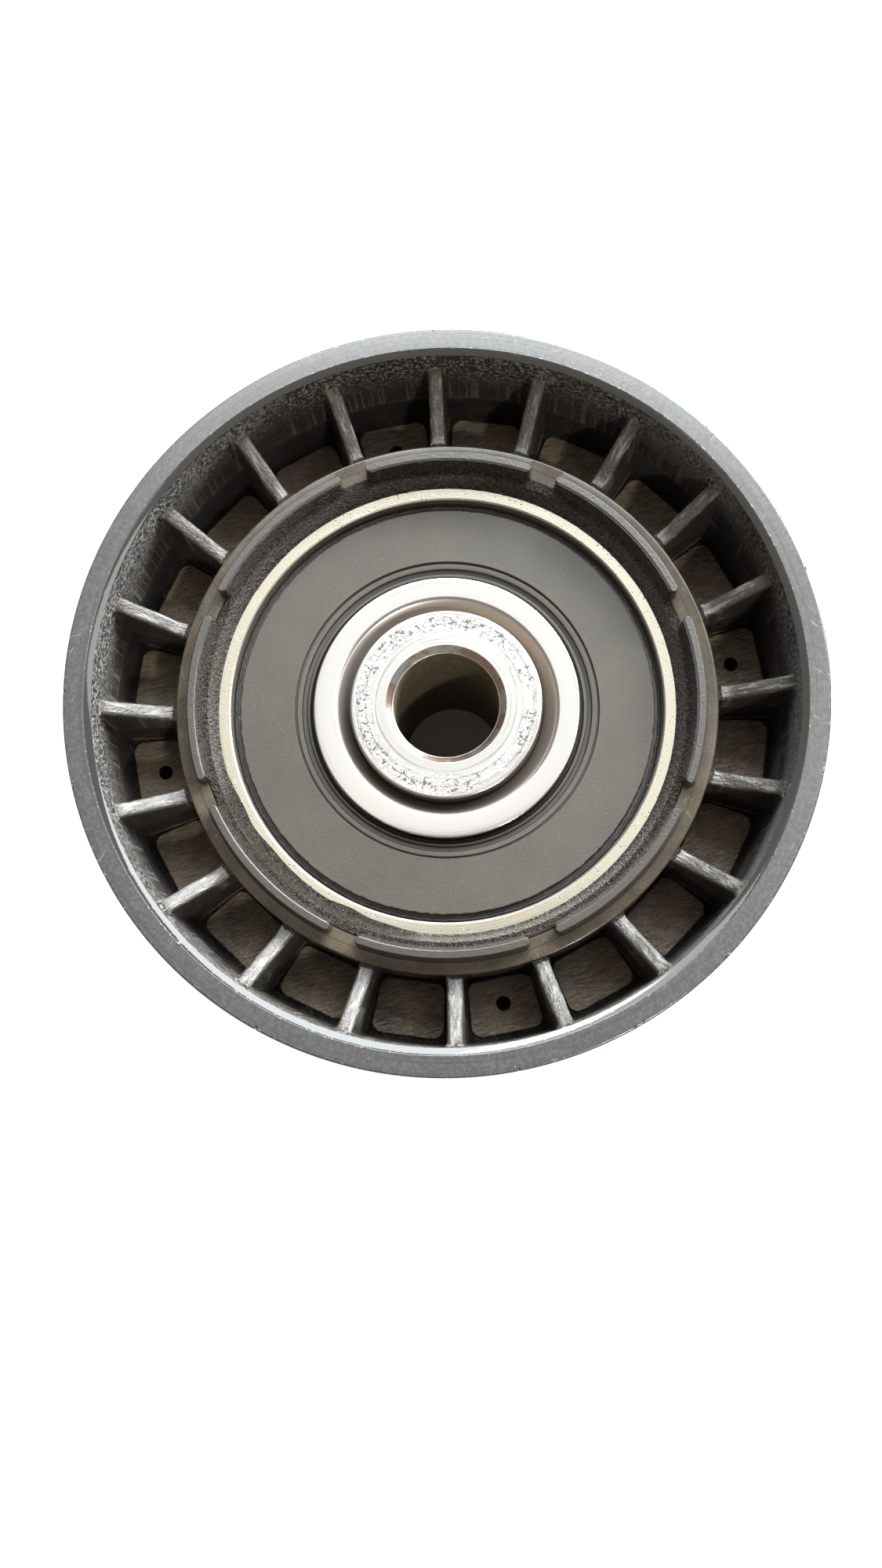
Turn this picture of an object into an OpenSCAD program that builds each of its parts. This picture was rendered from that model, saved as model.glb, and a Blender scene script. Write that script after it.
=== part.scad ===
// Belt idler pulley: a ribbed plastic wheel moulded round a sealed ball bearing,
// with a steel spacer bush through the bearing for the fixing bolt.
// The axis is Z, the origin is the centre of the bush's rear seating face,
// and +Z points to the front. Everything is in millimetres.

/* [Rim] */
// Outside diameter of the belt track
rim_d = 76; // [74:0.5:80]
// Width of the rim along the axis
rim_w = 31; // [29:0.5:32]
// Wall of the rim at its front edge, behind the lip
rim_wall = 2.8; // [2.4:0.1:3]
// Width of the bevelled lip inside the rim's edge
lip_w = 0.72; // [0.5:0.05:0.9]
// Depth of the bevelled lip
lip_drop = 0.2; // [0.1:0.05:0.4]
// Bevel on the belt track's two outer edges
rim_bevel = 0.25; // [0.1:0.05:0.5]
// Draft of the rim's inner wall from the edge to the web
rim_draft = 0.6; // [0.3:0.1:0.8]

/* [Web and ribs] */
// Thickness of the web between rim and hub
web_t = 2.6; // [2.2:0.1:3]
// Number of ribs on each face
rib_count = 20; // [16:1:20]
// Rib thickness at its crest
rib_crest_t = 1.4; // [1.2:0.1:1.6]
// Rib thickness at the web
rib_root_t = 2.1; // [1.8:0.1:2.2]
// Depth of the rib crest below the rim's edge, at the rim
rib_below_rim = 2.7; // [2:0.1:4]
// Depth of the rib crest below the hub's face, at the hub
rib_below_hub = 0.2; // [0.1:0.05:0.6]
// Height of the raised pad on the floor of each pocket
pad_h = 0.25; // [0.1:0.05:0.4]
// Size of a pad along the radius
pad_len = 5.6; // [5:0.1:5.8]
// Number of moulding gate marks
gate_count = 4; // [1:1:5]
// Diameter of a gate mark
gate_d = 1.55; // [1.2:0.05:2]

/* [Hub] */
// Outside diameter of the hub
hub_d = 55.8; // [55.4:0.1:56]
// Height of the hub's face above the bearing's face
hub_proud = 1.6; // [1.2:0.1:2]
// Inside diameter of the hub's opening at the bearing's face
hub_mouth_d = 47.46; // [47:0.1:48]
// Width of the slope at the hub's mouth
mouth_slope = 0.92; // [0.6:0.05:1.1]
// Number of raised arc beads on the hub's face
bead_count = 8; // [4:1:8]
// Angle that each bead spans
bead_span = 40; // [30:1:40]
// Height of a bead above the hub's face
bead_h = 2.05; // [1:0.1:2.2]

/* [Bearing] */
// Bearing bore diameter
brg_bore = 20; // [20:1:20]
// Bearing outside diameter
brg_od = 52; // [52:1:52]
// Bearing width
brg_w = 15; // [15:1:15]
// Number of balls
ball_count = 7; // [5:1:7]
// Ball diameter
ball_d = 9.525; // [9.4:0.025:9.525]
// Diameter of the circle through the ball centres
pitch_d = 36; // [35.9:0.05:36.1]
// Running clearance between a ball and each raceway
ball_clear = 0.05; // [0.02:0.01:0.1]
// Thickness of the cage's sheet steel
cage_t = 0.6; // [0.5:0.05:0.6]

/* [Spacer bush] */
// Diameter of the bolt hole
bolt_hole_d = 11; // [10.5:0.5:12]
// Length of the bush along the axis
bush_len = 27; // [26.8:0.1:27.5]
// Length of the bush's rear collar
collar_len = 11; // [10.5:0.1:11]
// Diameter of the bush's rear collar
collar_d = 26; // [24:0.5:26]
// Chamfer at each mouth of the bolt hole
hole_chamfer = 0.75; // [0.5:0.05:1]

/* [Hidden] */

// Level of the middle plane of rim, web and bearing
mid_z = collar_len + brg_w / 2;
// Distances from the middle plane and the axis
half_rim = rim_w / 2;
half_web = web_t / 2;
half_brg = brg_w / 2;
rim_r = rim_d / 2;
rim_in_r = rim_r - rim_wall;
web_r = rim_in_r - rim_draft;
hub_r = hub_d / 2;
hub_face = half_brg + hub_proud;
mouth_r = hub_mouth_d / 2;

// Ribs run from inside the hub to inside the rim, so that they join both
rib_from_r = hub_r - 1.1;
rib_to_r = rim_in_r + 1;
rib_crest_hub = hub_face - rib_below_hub;
rib_crest_rim = half_rim - rib_below_rim;
rib_slope = (rib_crest_rim - rib_crest_hub) / (rim_in_r - hub_r);
function rib_crest(r) = rib_crest_hub + rib_slope * (r - hub_r);

// Pads fill the floor between the ribs
pad_mid_r = 31.2;
pad_inner_w = 6.7;
pad_outer_w = 7.4;
pad_corner = 1;

// Gate marks lie in the middle of every fifth pocket
gate_r = 30.9;
gate_depth = 2;
gate_start = 180 / rib_count;

// Radii of a bead at its root and at its crest
bead_root = [25.1, 26.7];
bead_crest = [25.6, 26.44];
bead_start = -2.4 - bead_span / 2;
// Depth to which added shapes sink into the shape below, so that they join it
sink = 0.1;

// Bearing: raceways a little wider than the balls, and their deepest points
ball_r = ball_d / 2;
pitch_r = pitch_d / 2;
brg_r = brg_od / 2;
race_r = 0.52 * ball_d;
inner_race_r = pitch_r - ball_r - ball_clear;
outer_race_r = pitch_r + ball_r + ball_clear;
ring_bevel = 1;
inner_bevel = 1.5;
inner_land_r = 13.85;
inner_shoulder_r = 14.4;
outer_shoulder_r = 21.6;
outer_face_r = 22.5;
seal_groove_r = 23.05;
// Levels of the seal and its groove, from the middle plane
seal_back = 5.8;
seal_split = 6.12;
seal_front = 6.63;
groove_back = 5.6;
groove_front = 6.45;
land_back = 5.2;
seal_gap = 0.08;

// Cage: ribbon between two radii, with cups round the balls
cage_in_r = 16.2;
cage_out_r = 19.8;
cup_clear = 0.1;
cup_in_r = ball_r + cup_clear;
cup_out_r = cup_in_r + cage_t;
rivet_r = 0.7;
rivet_clear = 0.02;
rivet_head_r = 1.1;
rivet_head_h = 0.45;

bush_bevel = 0.25;
collar_bevel = 0.4;

module at_middle() {
  translate([0, 0, mid_z]) children();
}

// Draws the children on the front face, and mirrored on the rear face
module both_faces() {
  children();
  mirror([0, 0, 1]) children();
}

module round_section() {
  rotate_extrude($fn = 180) children();
}

module around(count, start = 0) {
  for (i = [0:count - 1]) rotate([0, 0, start + i * 360 / count]) children();
}

// The front half of the body's section, from the bearing seat out to the belt track
body_half = [
  [brg_r, half_brg - ring_bevel],
  [brg_r - ring_bevel, half_brg],
  [mouth_r, half_brg],
  [mouth_r + mouth_slope, hub_face],
  [hub_r, hub_face],
  [hub_r + 0.1, half_web],
  [web_r, half_web],
  [rim_in_r, half_rim - lip_drop],
  [rim_in_r + lip_w, half_rim],
  [rim_r - rim_bevel, half_rim],
  [rim_r, half_rim - rim_bevel]
];

// Closes a half section with its mirror image below the middle plane
function both_halves(half) = concat(
  half,
  [for (i = [len(half) - 1:-1:0]) [half[i][0], -half[i][1]]]
);

module rib() {
  intersection() {
    translate([0, rib_root_t / 2, 0])
      rotate([90, 0, 0])
        linear_extrude(rib_root_t)
          polygon([
            [rib_from_r, 0],
            [rib_to_r, 0],
            [rib_to_r, rib_crest(rib_to_r)],
            [rib_from_r, rib_crest(rib_from_r)]
          ]);
    rotate([90, 0, 90])
      linear_extrude(rim_r)
        polygon([
          [-rib_root_t / 2, 0],
          [rib_root_t / 2, 0],
          [rib_crest_t / 2, half_rim],
          [-rib_crest_t / 2, half_rim]
        ]);
  }
}

module pad() {
  inner_x = pad_mid_r - pad_len / 2;
  outer_x = pad_mid_r + pad_len / 2;
  translate([0, 0, half_web - sink])
    linear_extrude(pad_h + sink)
      polygon([
        [inner_x, -pad_inner_w / 2 + pad_corner],
        [inner_x + pad_corner, -pad_inner_w / 2],
        [outer_x - pad_corner, -pad_outer_w / 2],
        [outer_x, -pad_outer_w / 2 + pad_corner],
        [outer_x, pad_outer_w / 2 - pad_corner],
        [outer_x - pad_corner, pad_outer_w / 2],
        [inner_x + pad_corner, pad_inner_w / 2],
        [inner_x, pad_inner_w / 2 - pad_corner]
      ]);
}

module bead() {
  rotate_extrude(angle = bead_span, $fn = 180)
    polygon([
      [bead_root[0], hub_face - sink],
      [bead_root[1], hub_face - sink],
      [bead_crest[1], hub_face + bead_h],
      [bead_crest[0], hub_face + bead_h]
    ]);
}

module gate_mark() {
  translate([gate_r, 0, half_web + pad_h - gate_depth])
    cylinder(r = gate_d / 2, h = gate_depth + sink, $fn = 48);
}

module pulley_body() {
  color([0.20, 0.18, 0.17])
    at_middle()
      difference() {
        union() {
          round_section() polygon(both_halves(body_half));
          both_faces() {
            around(rib_count) rib();
            around(rib_count, 180 / rib_count) pad();
            around(bead_count, bead_start) bead();
          }
        }
        around(gate_count, gate_start) gate_mark();
      }
}

// The front half of the outer ring's section, without its raceway
outer_ring_half = [
  [outer_shoulder_r, groove_back],
  [seal_groove_r, groove_back],
  [seal_groove_r, groove_front - 0.15],
  [outer_face_r - 0.1, groove_front],
  [outer_face_r, half_brg],
  [brg_r - ring_bevel, half_brg],
  [brg_r, half_brg - ring_bevel]
];

module bearing_outer_ring() {
  color([0.80, 0.76, 0.66])
    at_middle()
      round_section()
        difference() {
          polygon(both_halves(outer_ring_half));
          translate([outer_race_r - race_r, 0]) circle(r = race_r, $fn = 96);
        }
}

// The front half of the inner ring's section, without its raceway
inner_ring_half = [
  [inner_shoulder_r, land_back],
  [inner_land_r, land_back],
  [inner_land_r, half_brg - 0.2],
  [inner_land_r - 0.2, half_brg],
  [brg_bore / 2 + inner_bevel, half_brg],
  [brg_bore / 2, half_brg - inner_bevel]
];

module bearing_inner_ring() {
  color([0.88, 0.87, 0.82])
    at_middle()
      round_section()
        difference() {
          polygon(both_halves(inner_ring_half));
          translate([inner_race_r + race_r, 0]) circle(r = race_r, $fn = 96);
        }
}

module ball(k) {
  color([0.86, 0.87, 0.88])
    at_middle()
      rotate([0, 0, (k - 1) * 360 / ball_count])
        translate([pitch_r, 0, 0])
          sphere(r = ball_r, $fn = 64);
}

// One half of the ribbon cage: a flat ring with a cup over each ball
module cage_half() {
  difference() {
    intersection() {
      union() {
        cylinder(r = cage_out_r + 1, h = cage_t, $fn = 180);
        around(ball_count) translate([pitch_r, 0, 0]) sphere(r = cup_out_r, $fn = 64);
      }
      difference() {
        cylinder(r = cage_out_r, h = 2 * cup_out_r, $fn = 180);
        translate([0, 0, -1]) cylinder(r = cage_in_r, h = 2 * cup_out_r + 2, $fn = 180);
      }
    }
    around(ball_count) translate([pitch_r, 0, 0]) sphere(r = cup_in_r, $fn = 64);
    around(ball_count, 180 / ball_count)
      translate([pitch_r, 0, -1])
        cylinder(r = rivet_r + rivet_clear, h = cage_t + 2, $fn = 32);
  }
}

module cage_front_half() {
  color([0.62, 0.63, 0.65]) at_middle() cage_half();
}

module cage_rear_half() {
  color([0.62, 0.63, 0.65]) at_middle() mirror([0, 0, 1]) cage_half();
}

module cage_rivets() {
  color([0.72, 0.72, 0.73])
    at_middle()
      around(ball_count, 180 / ball_count)
        translate([pitch_r, 0, 0]) {
          translate([0, 0, -cage_t]) cylinder(r = rivet_r, h = 2 * cage_t, $fn = 32);
          both_faces() translate([0, 0, cage_t]) cylinder(r = rivet_head_r, h = rivet_head_h, $fn = 32);
        }
}

// Rubber seal: a bead in the outer ring's groove, a flat face and a lip by the inner ring
module seal() {
  lip_r = inner_land_r + seal_gap;
  round_section()
    polygon([
      [lip_r, seal_back - 0.1],
      [lip_r + 0.7, seal_back],
      [15.1, seal_back],
      [15.1, seal_split],
      [21.3, seal_split],
      [21.3, seal_back],
      [seal_groove_r - 0.1, seal_back],
      [seal_groove_r - 0.1, seal_split],
      [21.75, seal_split + 0.1],
      [outer_shoulder_r, seal_front],
      [15.9, seal_front],
      [15.6, seal_front - 0.25],
      [lip_r + 0.5, seal_front - 0.1],
      [lip_r, seal_front - 0.35]
    ]);
}

// Steel disc that stiffens the seal from behind
module seal_insert() {
  round_section()
    polygon([[15.1, seal_back], [21.3, seal_back], [21.3, seal_split], [15.1, seal_split]]);
}

module front_seal() {
  color([0.16, 0.16, 0.16]) at_middle() seal();
}

module rear_seal() {
  color([0.16, 0.16, 0.16]) at_middle() mirror([0, 0, 1]) seal();
}

module front_seal_insert() {
  color([0.55, 0.56, 0.58]) at_middle() seal_insert();
}

module rear_seal_insert() {
  color([0.55, 0.56, 0.58]) at_middle() mirror([0, 0, 1]) seal_insert();
}

module spacer_bush() {
  hole_r = bolt_hole_d / 2;
  shank_r = brg_bore / 2;
  collar_r = collar_d / 2;
  color([0.90, 0.89, 0.84])
    round_section()
      polygon([
        [hole_r + hole_chamfer, 0],
        [collar_r - collar_bevel, 0],
        [collar_r, collar_bevel],
        [collar_r, collar_len - collar_bevel],
        [collar_r - collar_bevel, collar_len],
        [shank_r, collar_len],
        [shank_r, bush_len - bush_bevel],
        [shank_r - bush_bevel, bush_len],
        [hole_r + hole_chamfer, bush_len],
        [hole_r, bush_len - hole_chamfer],
        [hole_r, hole_chamfer]
      ]);
}

pulley_body();
bearing_outer_ring();
bearing_inner_ring();
cage_front_half();
cage_rear_half();
cage_rivets();
front_seal();
front_seal_insert();
rear_seal();
rear_seal_insert();
spacer_bush();
for (k = [1:ball_count]) ball(k);
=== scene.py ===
"""Belt idler pulley: a ribbed nylon wheel moulded round a sealed ball bearing, on a steel bush.

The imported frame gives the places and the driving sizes. Sections are written in millimetres, as
distances from the axis and from the middle plane of the wheel, and become metres in the meshes.
"""

import logging
import math
from dataclasses import dataclass
from enum import Enum
from typing import Callable, Iterable, Sequence, Union

import bmesh
import bpy
from mathutils import Matrix, Vector, noise


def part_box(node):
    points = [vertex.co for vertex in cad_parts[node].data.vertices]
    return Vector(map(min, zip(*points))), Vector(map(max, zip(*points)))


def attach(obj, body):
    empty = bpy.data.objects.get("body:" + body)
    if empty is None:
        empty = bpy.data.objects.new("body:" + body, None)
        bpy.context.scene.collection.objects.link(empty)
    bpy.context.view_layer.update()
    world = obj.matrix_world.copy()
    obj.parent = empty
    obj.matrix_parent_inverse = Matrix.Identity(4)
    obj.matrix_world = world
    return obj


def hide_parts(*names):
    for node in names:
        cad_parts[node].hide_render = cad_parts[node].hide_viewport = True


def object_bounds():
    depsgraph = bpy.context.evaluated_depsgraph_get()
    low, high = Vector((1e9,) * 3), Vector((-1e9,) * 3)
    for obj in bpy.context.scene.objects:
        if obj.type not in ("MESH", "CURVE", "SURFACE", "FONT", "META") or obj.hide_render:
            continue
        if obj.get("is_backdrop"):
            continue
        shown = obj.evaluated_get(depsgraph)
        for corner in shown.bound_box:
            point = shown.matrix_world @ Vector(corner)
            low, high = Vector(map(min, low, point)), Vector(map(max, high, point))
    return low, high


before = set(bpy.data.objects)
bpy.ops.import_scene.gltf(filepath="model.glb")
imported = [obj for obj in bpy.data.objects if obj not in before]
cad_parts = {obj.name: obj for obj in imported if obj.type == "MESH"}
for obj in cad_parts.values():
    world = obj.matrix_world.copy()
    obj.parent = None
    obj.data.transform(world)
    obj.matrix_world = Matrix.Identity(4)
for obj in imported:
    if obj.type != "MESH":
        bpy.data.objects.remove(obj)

LOG = logging.getLogger("idler_pulley")
MM = 0.001

# Radius of the bearing's bore in millimetres, which no node's box shows.
BORE_R = 10.0
# Radius at the middle of the ribs, in millimetres.
WEB_MID_R = 31.0
# How strongly broad faces keep their own normals, out of 100.
BROAD_FACE_WEIGHT = 80
# Points closer than this, in metres, are one point.
MERGE_DISTANCE = 1e-7

Colour = tuple[float, float, float]
Place = tuple[float, float, float]
Point = tuple[float, float]
Loop = list[Place]
Wobble = Callable[[float, float, float], float]


class Side(Enum):
    """The two faces of the wheel; the value is the sign of the height from the middle plane."""

    FRONT = 1
    REAR = -1


@dataclass(frozen=True)
class Datum:
    """Driving sizes in millimetres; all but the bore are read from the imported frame."""

    mid_z: float
    rim_r: float
    half_rim: float
    bearing_r: float
    half_bearing: float
    bore_r: float
    collar_r: float
    bush_len: float
    collar_len: float
    seal_r: float

    @classmethod
    def from_frame(cls) -> "Datum":
        """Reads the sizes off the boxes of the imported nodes.

        Returns:
            The sizes.
        """
        body_low, body_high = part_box("pulley_body")
        ring_low, ring_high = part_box("bearing_outer_ring")
        bush_low, bush_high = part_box("spacer_bush")
        mid_z = (body_low[2] + body_high[2]) / 2
        half_bearing = (ring_high[2] - ring_low[2]) / 2
        return cls(
            mid_z=mid_z / MM,
            rim_r=body_high[0] / MM,
            half_rim=(body_high[2] - body_low[2]) / 2 / MM,
            bearing_r=ring_high[0] / MM,
            half_bearing=half_bearing / MM,
            bore_r=BORE_R,
            collar_r=bush_high[0] / MM,
            bush_len=bush_high[2] / MM,
            collar_len=(mid_z - half_bearing) / MM,
            seal_r=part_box("front_seal")[1][0] / MM,
        )


DATUM = Datum.from_frame()


# ---------------------------------------------------------------- sections and meshes


@dataclass(frozen=True)
class Corner:
    """A corner of a turned section: radius, height, and the radius that rounds it."""

    r: float
    h: float
    rounding: float = 0.0


def rounded(corners: Sequence[Corner], steps: int = 4) -> list[Point]:
    """Rounds the corners of a closed section with arcs that touch both sides.

    Args:
        corners: The section's corners in order.
        steps: How many straight pieces each arc has.

    Returns:
        The section's points as (radius, height).
    """
    points: list[Point] = []
    count = len(corners)
    for index, corner in enumerate(corners):
        here = Vector((corner.r, corner.h))
        if corner.rounding == 0:
            points.append(tuple(here))
            continue
        before, after = corners[index - 1], corners[(index + 1) % count]
        back = Vector((before.r, before.h)) - here
        ahead = Vector((after.r, after.h)) - here
        half = back.angle(ahead) / 2
        reach = min(corner.rounding / math.tan(half), 0.48 * min(back.length, ahead.length))
        start = here + back.normalized() * reach
        end = here + ahead.normalized() * reach
        for step in range(steps + 1):
            t = step / steps
            points.append(tuple((1 - t) ** 2 * start + 2 * t * (1 - t) * here + t * t * end))
    return points


def mirrored(half: Sequence[Corner]) -> list[Corner]:
    """Closes a front half section with its mirror image behind the middle plane."""
    return [*half, *(Corner(c.r, -c.h, c.rounding) for c in reversed(half))]


def circle_point(centre: Point, radius: float, angle: float) -> Point:
    """The point of a circle at an angle in radians."""
    return centre[0] + radius * math.cos(angle), centre[1] + radius * math.sin(angle)


def arc(centre: Point, radius: float, start: float, end: float, steps: int) -> list[Corner]:
    """Corners along an arc from one angle to another, in degrees, ends included."""
    angles = (math.radians(start + (end - start) * step / steps) for step in range(steps + 1))
    return [Corner(*circle_point(centre, radius, angle)) for angle in angles]


def outward(mesh: bpy.types.Mesh) -> None:
    """Merges doubled points of a closed mesh, then turns its faces outwards.

    Args:
        mesh: The mesh, which is changed in place.
    """
    work = bmesh.new()
    work.from_mesh(mesh)
    bmesh.ops.remove_doubles(work, verts=work.verts, dist=MERGE_DISTANCE)
    bmesh.ops.recalc_face_normals(work, faces=work.faces)
    work.to_mesh(mesh)
    work.free()


def linked(name: str, data: bpy.types.ID) -> bpy.types.Object:
    """Makes an object of some data and puts it in the scene.

    Args:
        name: The object's name.
        data: Its mesh, light or camera.

    Returns:
        The object, at the origin.
    """
    made = bpy.data.objects.new(name, data)
    bpy.context.scene.collection.objects.link(made)
    return made


def mesh_object(
    name: str, points: Iterable[Sequence[float]], faces: Sequence[Sequence[int]]
) -> bpy.types.Object:
    """Makes an object at the origin from points in millimetres about the middle plane.

    Args:
        name: The object's name.
        points: Places as (x, y, height from the middle plane).
        faces: Rings of point numbers.

    Returns:
        The object, with its faces outwards.
    """
    mesh = bpy.data.meshes.new(name)
    mesh.from_pydata([(x * MM, y * MM, (h + DATUM.mid_z) * MM) for x, y, h in points], [], faces)
    outward(mesh)
    return linked(name, mesh)


def quads(rows: int, count: int, closed: bool) -> list[tuple[int, int, int, int]]:
    """Faces between neighbouring rows of points, where each row is a ring.

    Args:
        rows: How many rows there are.
        count: How many points each row has.
        closed: Whether the last row meets the first.

    Returns:
        The point numbers of each face.
    """
    faces = []
    for row in range(rows if closed else rows - 1):
        here, after = row * count, (row + 1) % rows * count
        for index in range(count):
            ahead = (index + 1) % count
            faces.append((here + index, here + ahead, after + ahead, after + index))
    return faces


def turned(
    name: str, section: Sequence[Point], segments: int, wobble: Wobble | None = None
) -> bpy.types.Object:
    """Turns a closed section round the axis.

    Args:
        name: The object's name.
        section: Points as (radius, height).
        segments: Steps round the axis.
        wobble: Gives a point's radius from its radius, height and angle, where it isn't round.

    Returns:
        The turned ring.
    """
    points = []
    for turn in range(segments):
        angle = math.tau * turn / segments
        for r, h in section:
            radius = wobble(r, h, angle) if wobble else r
            points.append((*circle_point((0.0, 0.0), radius, angle), h))
    return mesh_object(name, points, quads(segments, len(section), closed=True))


def lofted(name: str, loops: Sequence[Loop]) -> bpy.types.Object:
    """Skins loops of equal length one after the other, and closes both ends.

    Args:
        name: The object's name.
        loops: Loops of (x, y, height).

    Returns:
        The closed shape.
    """
    count = len(loops[0])
    last = (len(loops) - 1) * count
    caps = [tuple(range(count)), tuple(last + index for index in reversed(range(count)))]
    points = [point for loop in loops for point in loop]
    return mesh_object(name, points, quads(len(loops), count, closed=False) + caps)


def plain_mesh(piece: bpy.types.Object) -> bpy.types.Object:
    """Turns a piece's evaluated shape into its own plain mesh, and removes its modifiers.

    Args:
        piece: The piece, with its modifiers.

    Returns:
        The same object.
    """
    graph = bpy.context.evaluated_depsgraph_get()
    shape = piece.evaluated_get(graph)
    mesh = bpy.data.meshes.new_from_object(shape, preserve_all_data_layers=True, depsgraph=graph)
    piece.modifiers.clear()
    old = piece.data
    piece.data = mesh
    bpy.data.meshes.remove(old)
    return piece


class Join(Enum):
    """How one closed shape is worked into another."""

    ADD = "UNION"
    CUT = "DIFFERENCE"


def worked(piece: bpy.types.Object, tools: Sequence[tuple[bpy.types.Object, Join]]) -> bpy.types.Object:
    """Adds shapes to a piece or cuts them out of it, and removes them from the scene.

    Args:
        piece: The shape that is worked on.
        tools: Shapes with the way each is worked in, in order.

    Returns:
        The piece, as one closed mesh.
    """
    for tool, join in tools:
        modifier = piece.modifiers.new(tool.name, "BOOLEAN")
        modifier.operation = join.value
        modifier.solver = "MANIFOLD"
        modifier.object = tool
    plain_mesh(piece)
    for tool, _ in tools:
        bpy.data.objects.remove(tool)
    return piece


def smoothed(piece: bpy.types.Object, angle: float = 35.0) -> bpy.types.Object:
    """Shades a piece smooth up to an angle, with its broad faces kept flat.

    Args:
        piece: The piece.
        angle: The angle between two faces, in degrees, from which their edge stays sharp.

    Returns:
        The same object.
    """
    piece.data.shade_smooth()
    piece.data.set_sharp_from_angle(angle=math.radians(angle))
    modifier = piece.modifiers.new("weighted", "WEIGHTED_NORMAL")
    modifier.keep_sharp = True
    modifier.weight = BROAD_FACE_WEIGHT
    return plain_mesh(piece)


# ---------------------------------------------------------------- Geometry Nodes


class Tree:
    """A node tree that is written one node at a time."""

    def __init__(self, tree: bpy.types.NodeTree) -> None:
        """Keeps the tree."""
        self.tree = tree

    def node(self, kind: str, settings: dict | None = None, sockets: dict | None = None) -> bpy.types.Node:
        """Adds a node.

        Args:
            kind: The node's type.
            settings: Properties to set first.
            sockets: Values or links for its inputs, by name or number.

        Returns:
            The node.
        """
        node = self.tree.nodes.new(kind)
        for key, value in (settings or {}).items():
            setattr(node, key, value)
        for key, value in (sockets or {}).items():
            self.feed(node.inputs[key], value)
        return node

    def feed(self, socket: bpy.types.NodeSocket, value: object) -> None:
        """Links a socket to a signal or another socket, or sets its value.

        Args:
            socket: The input.
            value: What it gets; a colour may come without its alpha.
        """
        source = value.socket if isinstance(value, Signal) else value
        if isinstance(source, bpy.types.NodeSocket):
            self.tree.links.new(source, socket)
        elif socket.type == "RGBA" and len(source) == 3:
            socket.default_value = (*source, 1.0)
        else:
            socket.default_value = source

    def math(self, operation: str, *values: "Number") -> "Signal":
        """Adds a Math node on signals or numbers."""
        node = self.node("ShaderNodeMath", {"operation": operation}, dict(enumerate(values)))
        return Signal(self, node.outputs[0])

    def vector(self, operation: str, *values: object) -> bpy.types.NodeSocket:
        """Adds a Vector Math node, and gives its vector output."""
        return self.node("ShaderNodeVectorMath", {"operation": operation}, dict(enumerate(values))).outputs[0]

    def scaled(self, vector: bpy.types.NodeSocket, factor: float) -> bpy.types.NodeSocket:
        """A vector times a number."""
        sockets = {0: vector, "Scale": factor}
        return self.node("ShaderNodeVectorMath", {"operation": "SCALE"}, sockets).outputs[0]


class Signal:
    """A number that varies from place to place, used like a number in a formula."""

    def __init__(self, tree: Tree, socket: bpy.types.NodeSocket) -> None:
        """Keeps the tree and the socket that gives the number."""
        self.tree = tree
        self.socket = socket

    def __add__(self, other: "Number") -> "Signal":
        """Adds a number."""
        return self.tree.math("ADD", self, other)

    __radd__ = __add__

    def __sub__(self, other: "Number") -> "Signal":
        """Takes a number away."""
        return self.tree.math("SUBTRACT", self, other)

    def __rsub__(self, other: "Number") -> "Signal":
        """Takes this away from a number."""
        return self.tree.math("SUBTRACT", other, self)

    def __mul__(self, other: "Number") -> "Signal":
        """Multiplies by a number."""
        return self.tree.math("MULTIPLY", self, other)

    __rmul__ = __mul__

    def __truediv__(self, other: "Number") -> "Signal":
        """Divides by a number."""
        return self.tree.math("DIVIDE", self, other)

    def __abs__(self) -> "Signal":
        """The distance from nought."""
        return self.tree.math("ABSOLUTE", self)

    def most(self, other: "Number") -> "Signal":
        """The larger of the two."""
        return self.tree.math("MAXIMUM", self, other)

    def rise(self, low: float, high: float) -> "Signal":
        """A smooth rise from nought to one.

        Args:
            low: The level up to which it is nought.
            high: The level from which it is one.

        Returns:
            The risen signal.
        """
        sockets = {"Value": self, "From Min": low, "From Max": high}
        node = self.tree.node("ShaderNodeMapRange", {"interpolation_type": "SMOOTHSTEP"}, sockets)
        return Signal(self.tree, node.outputs[0])

    def within(self, low: float, high: float, soft: float = 0.05) -> "Signal":
        """One between low and high, and nought outside them."""
        return self.rise(low - soft, low + soft) * (1 - self.rise(high - soft, high + soft))


Number = Union[Signal, float]


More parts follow.
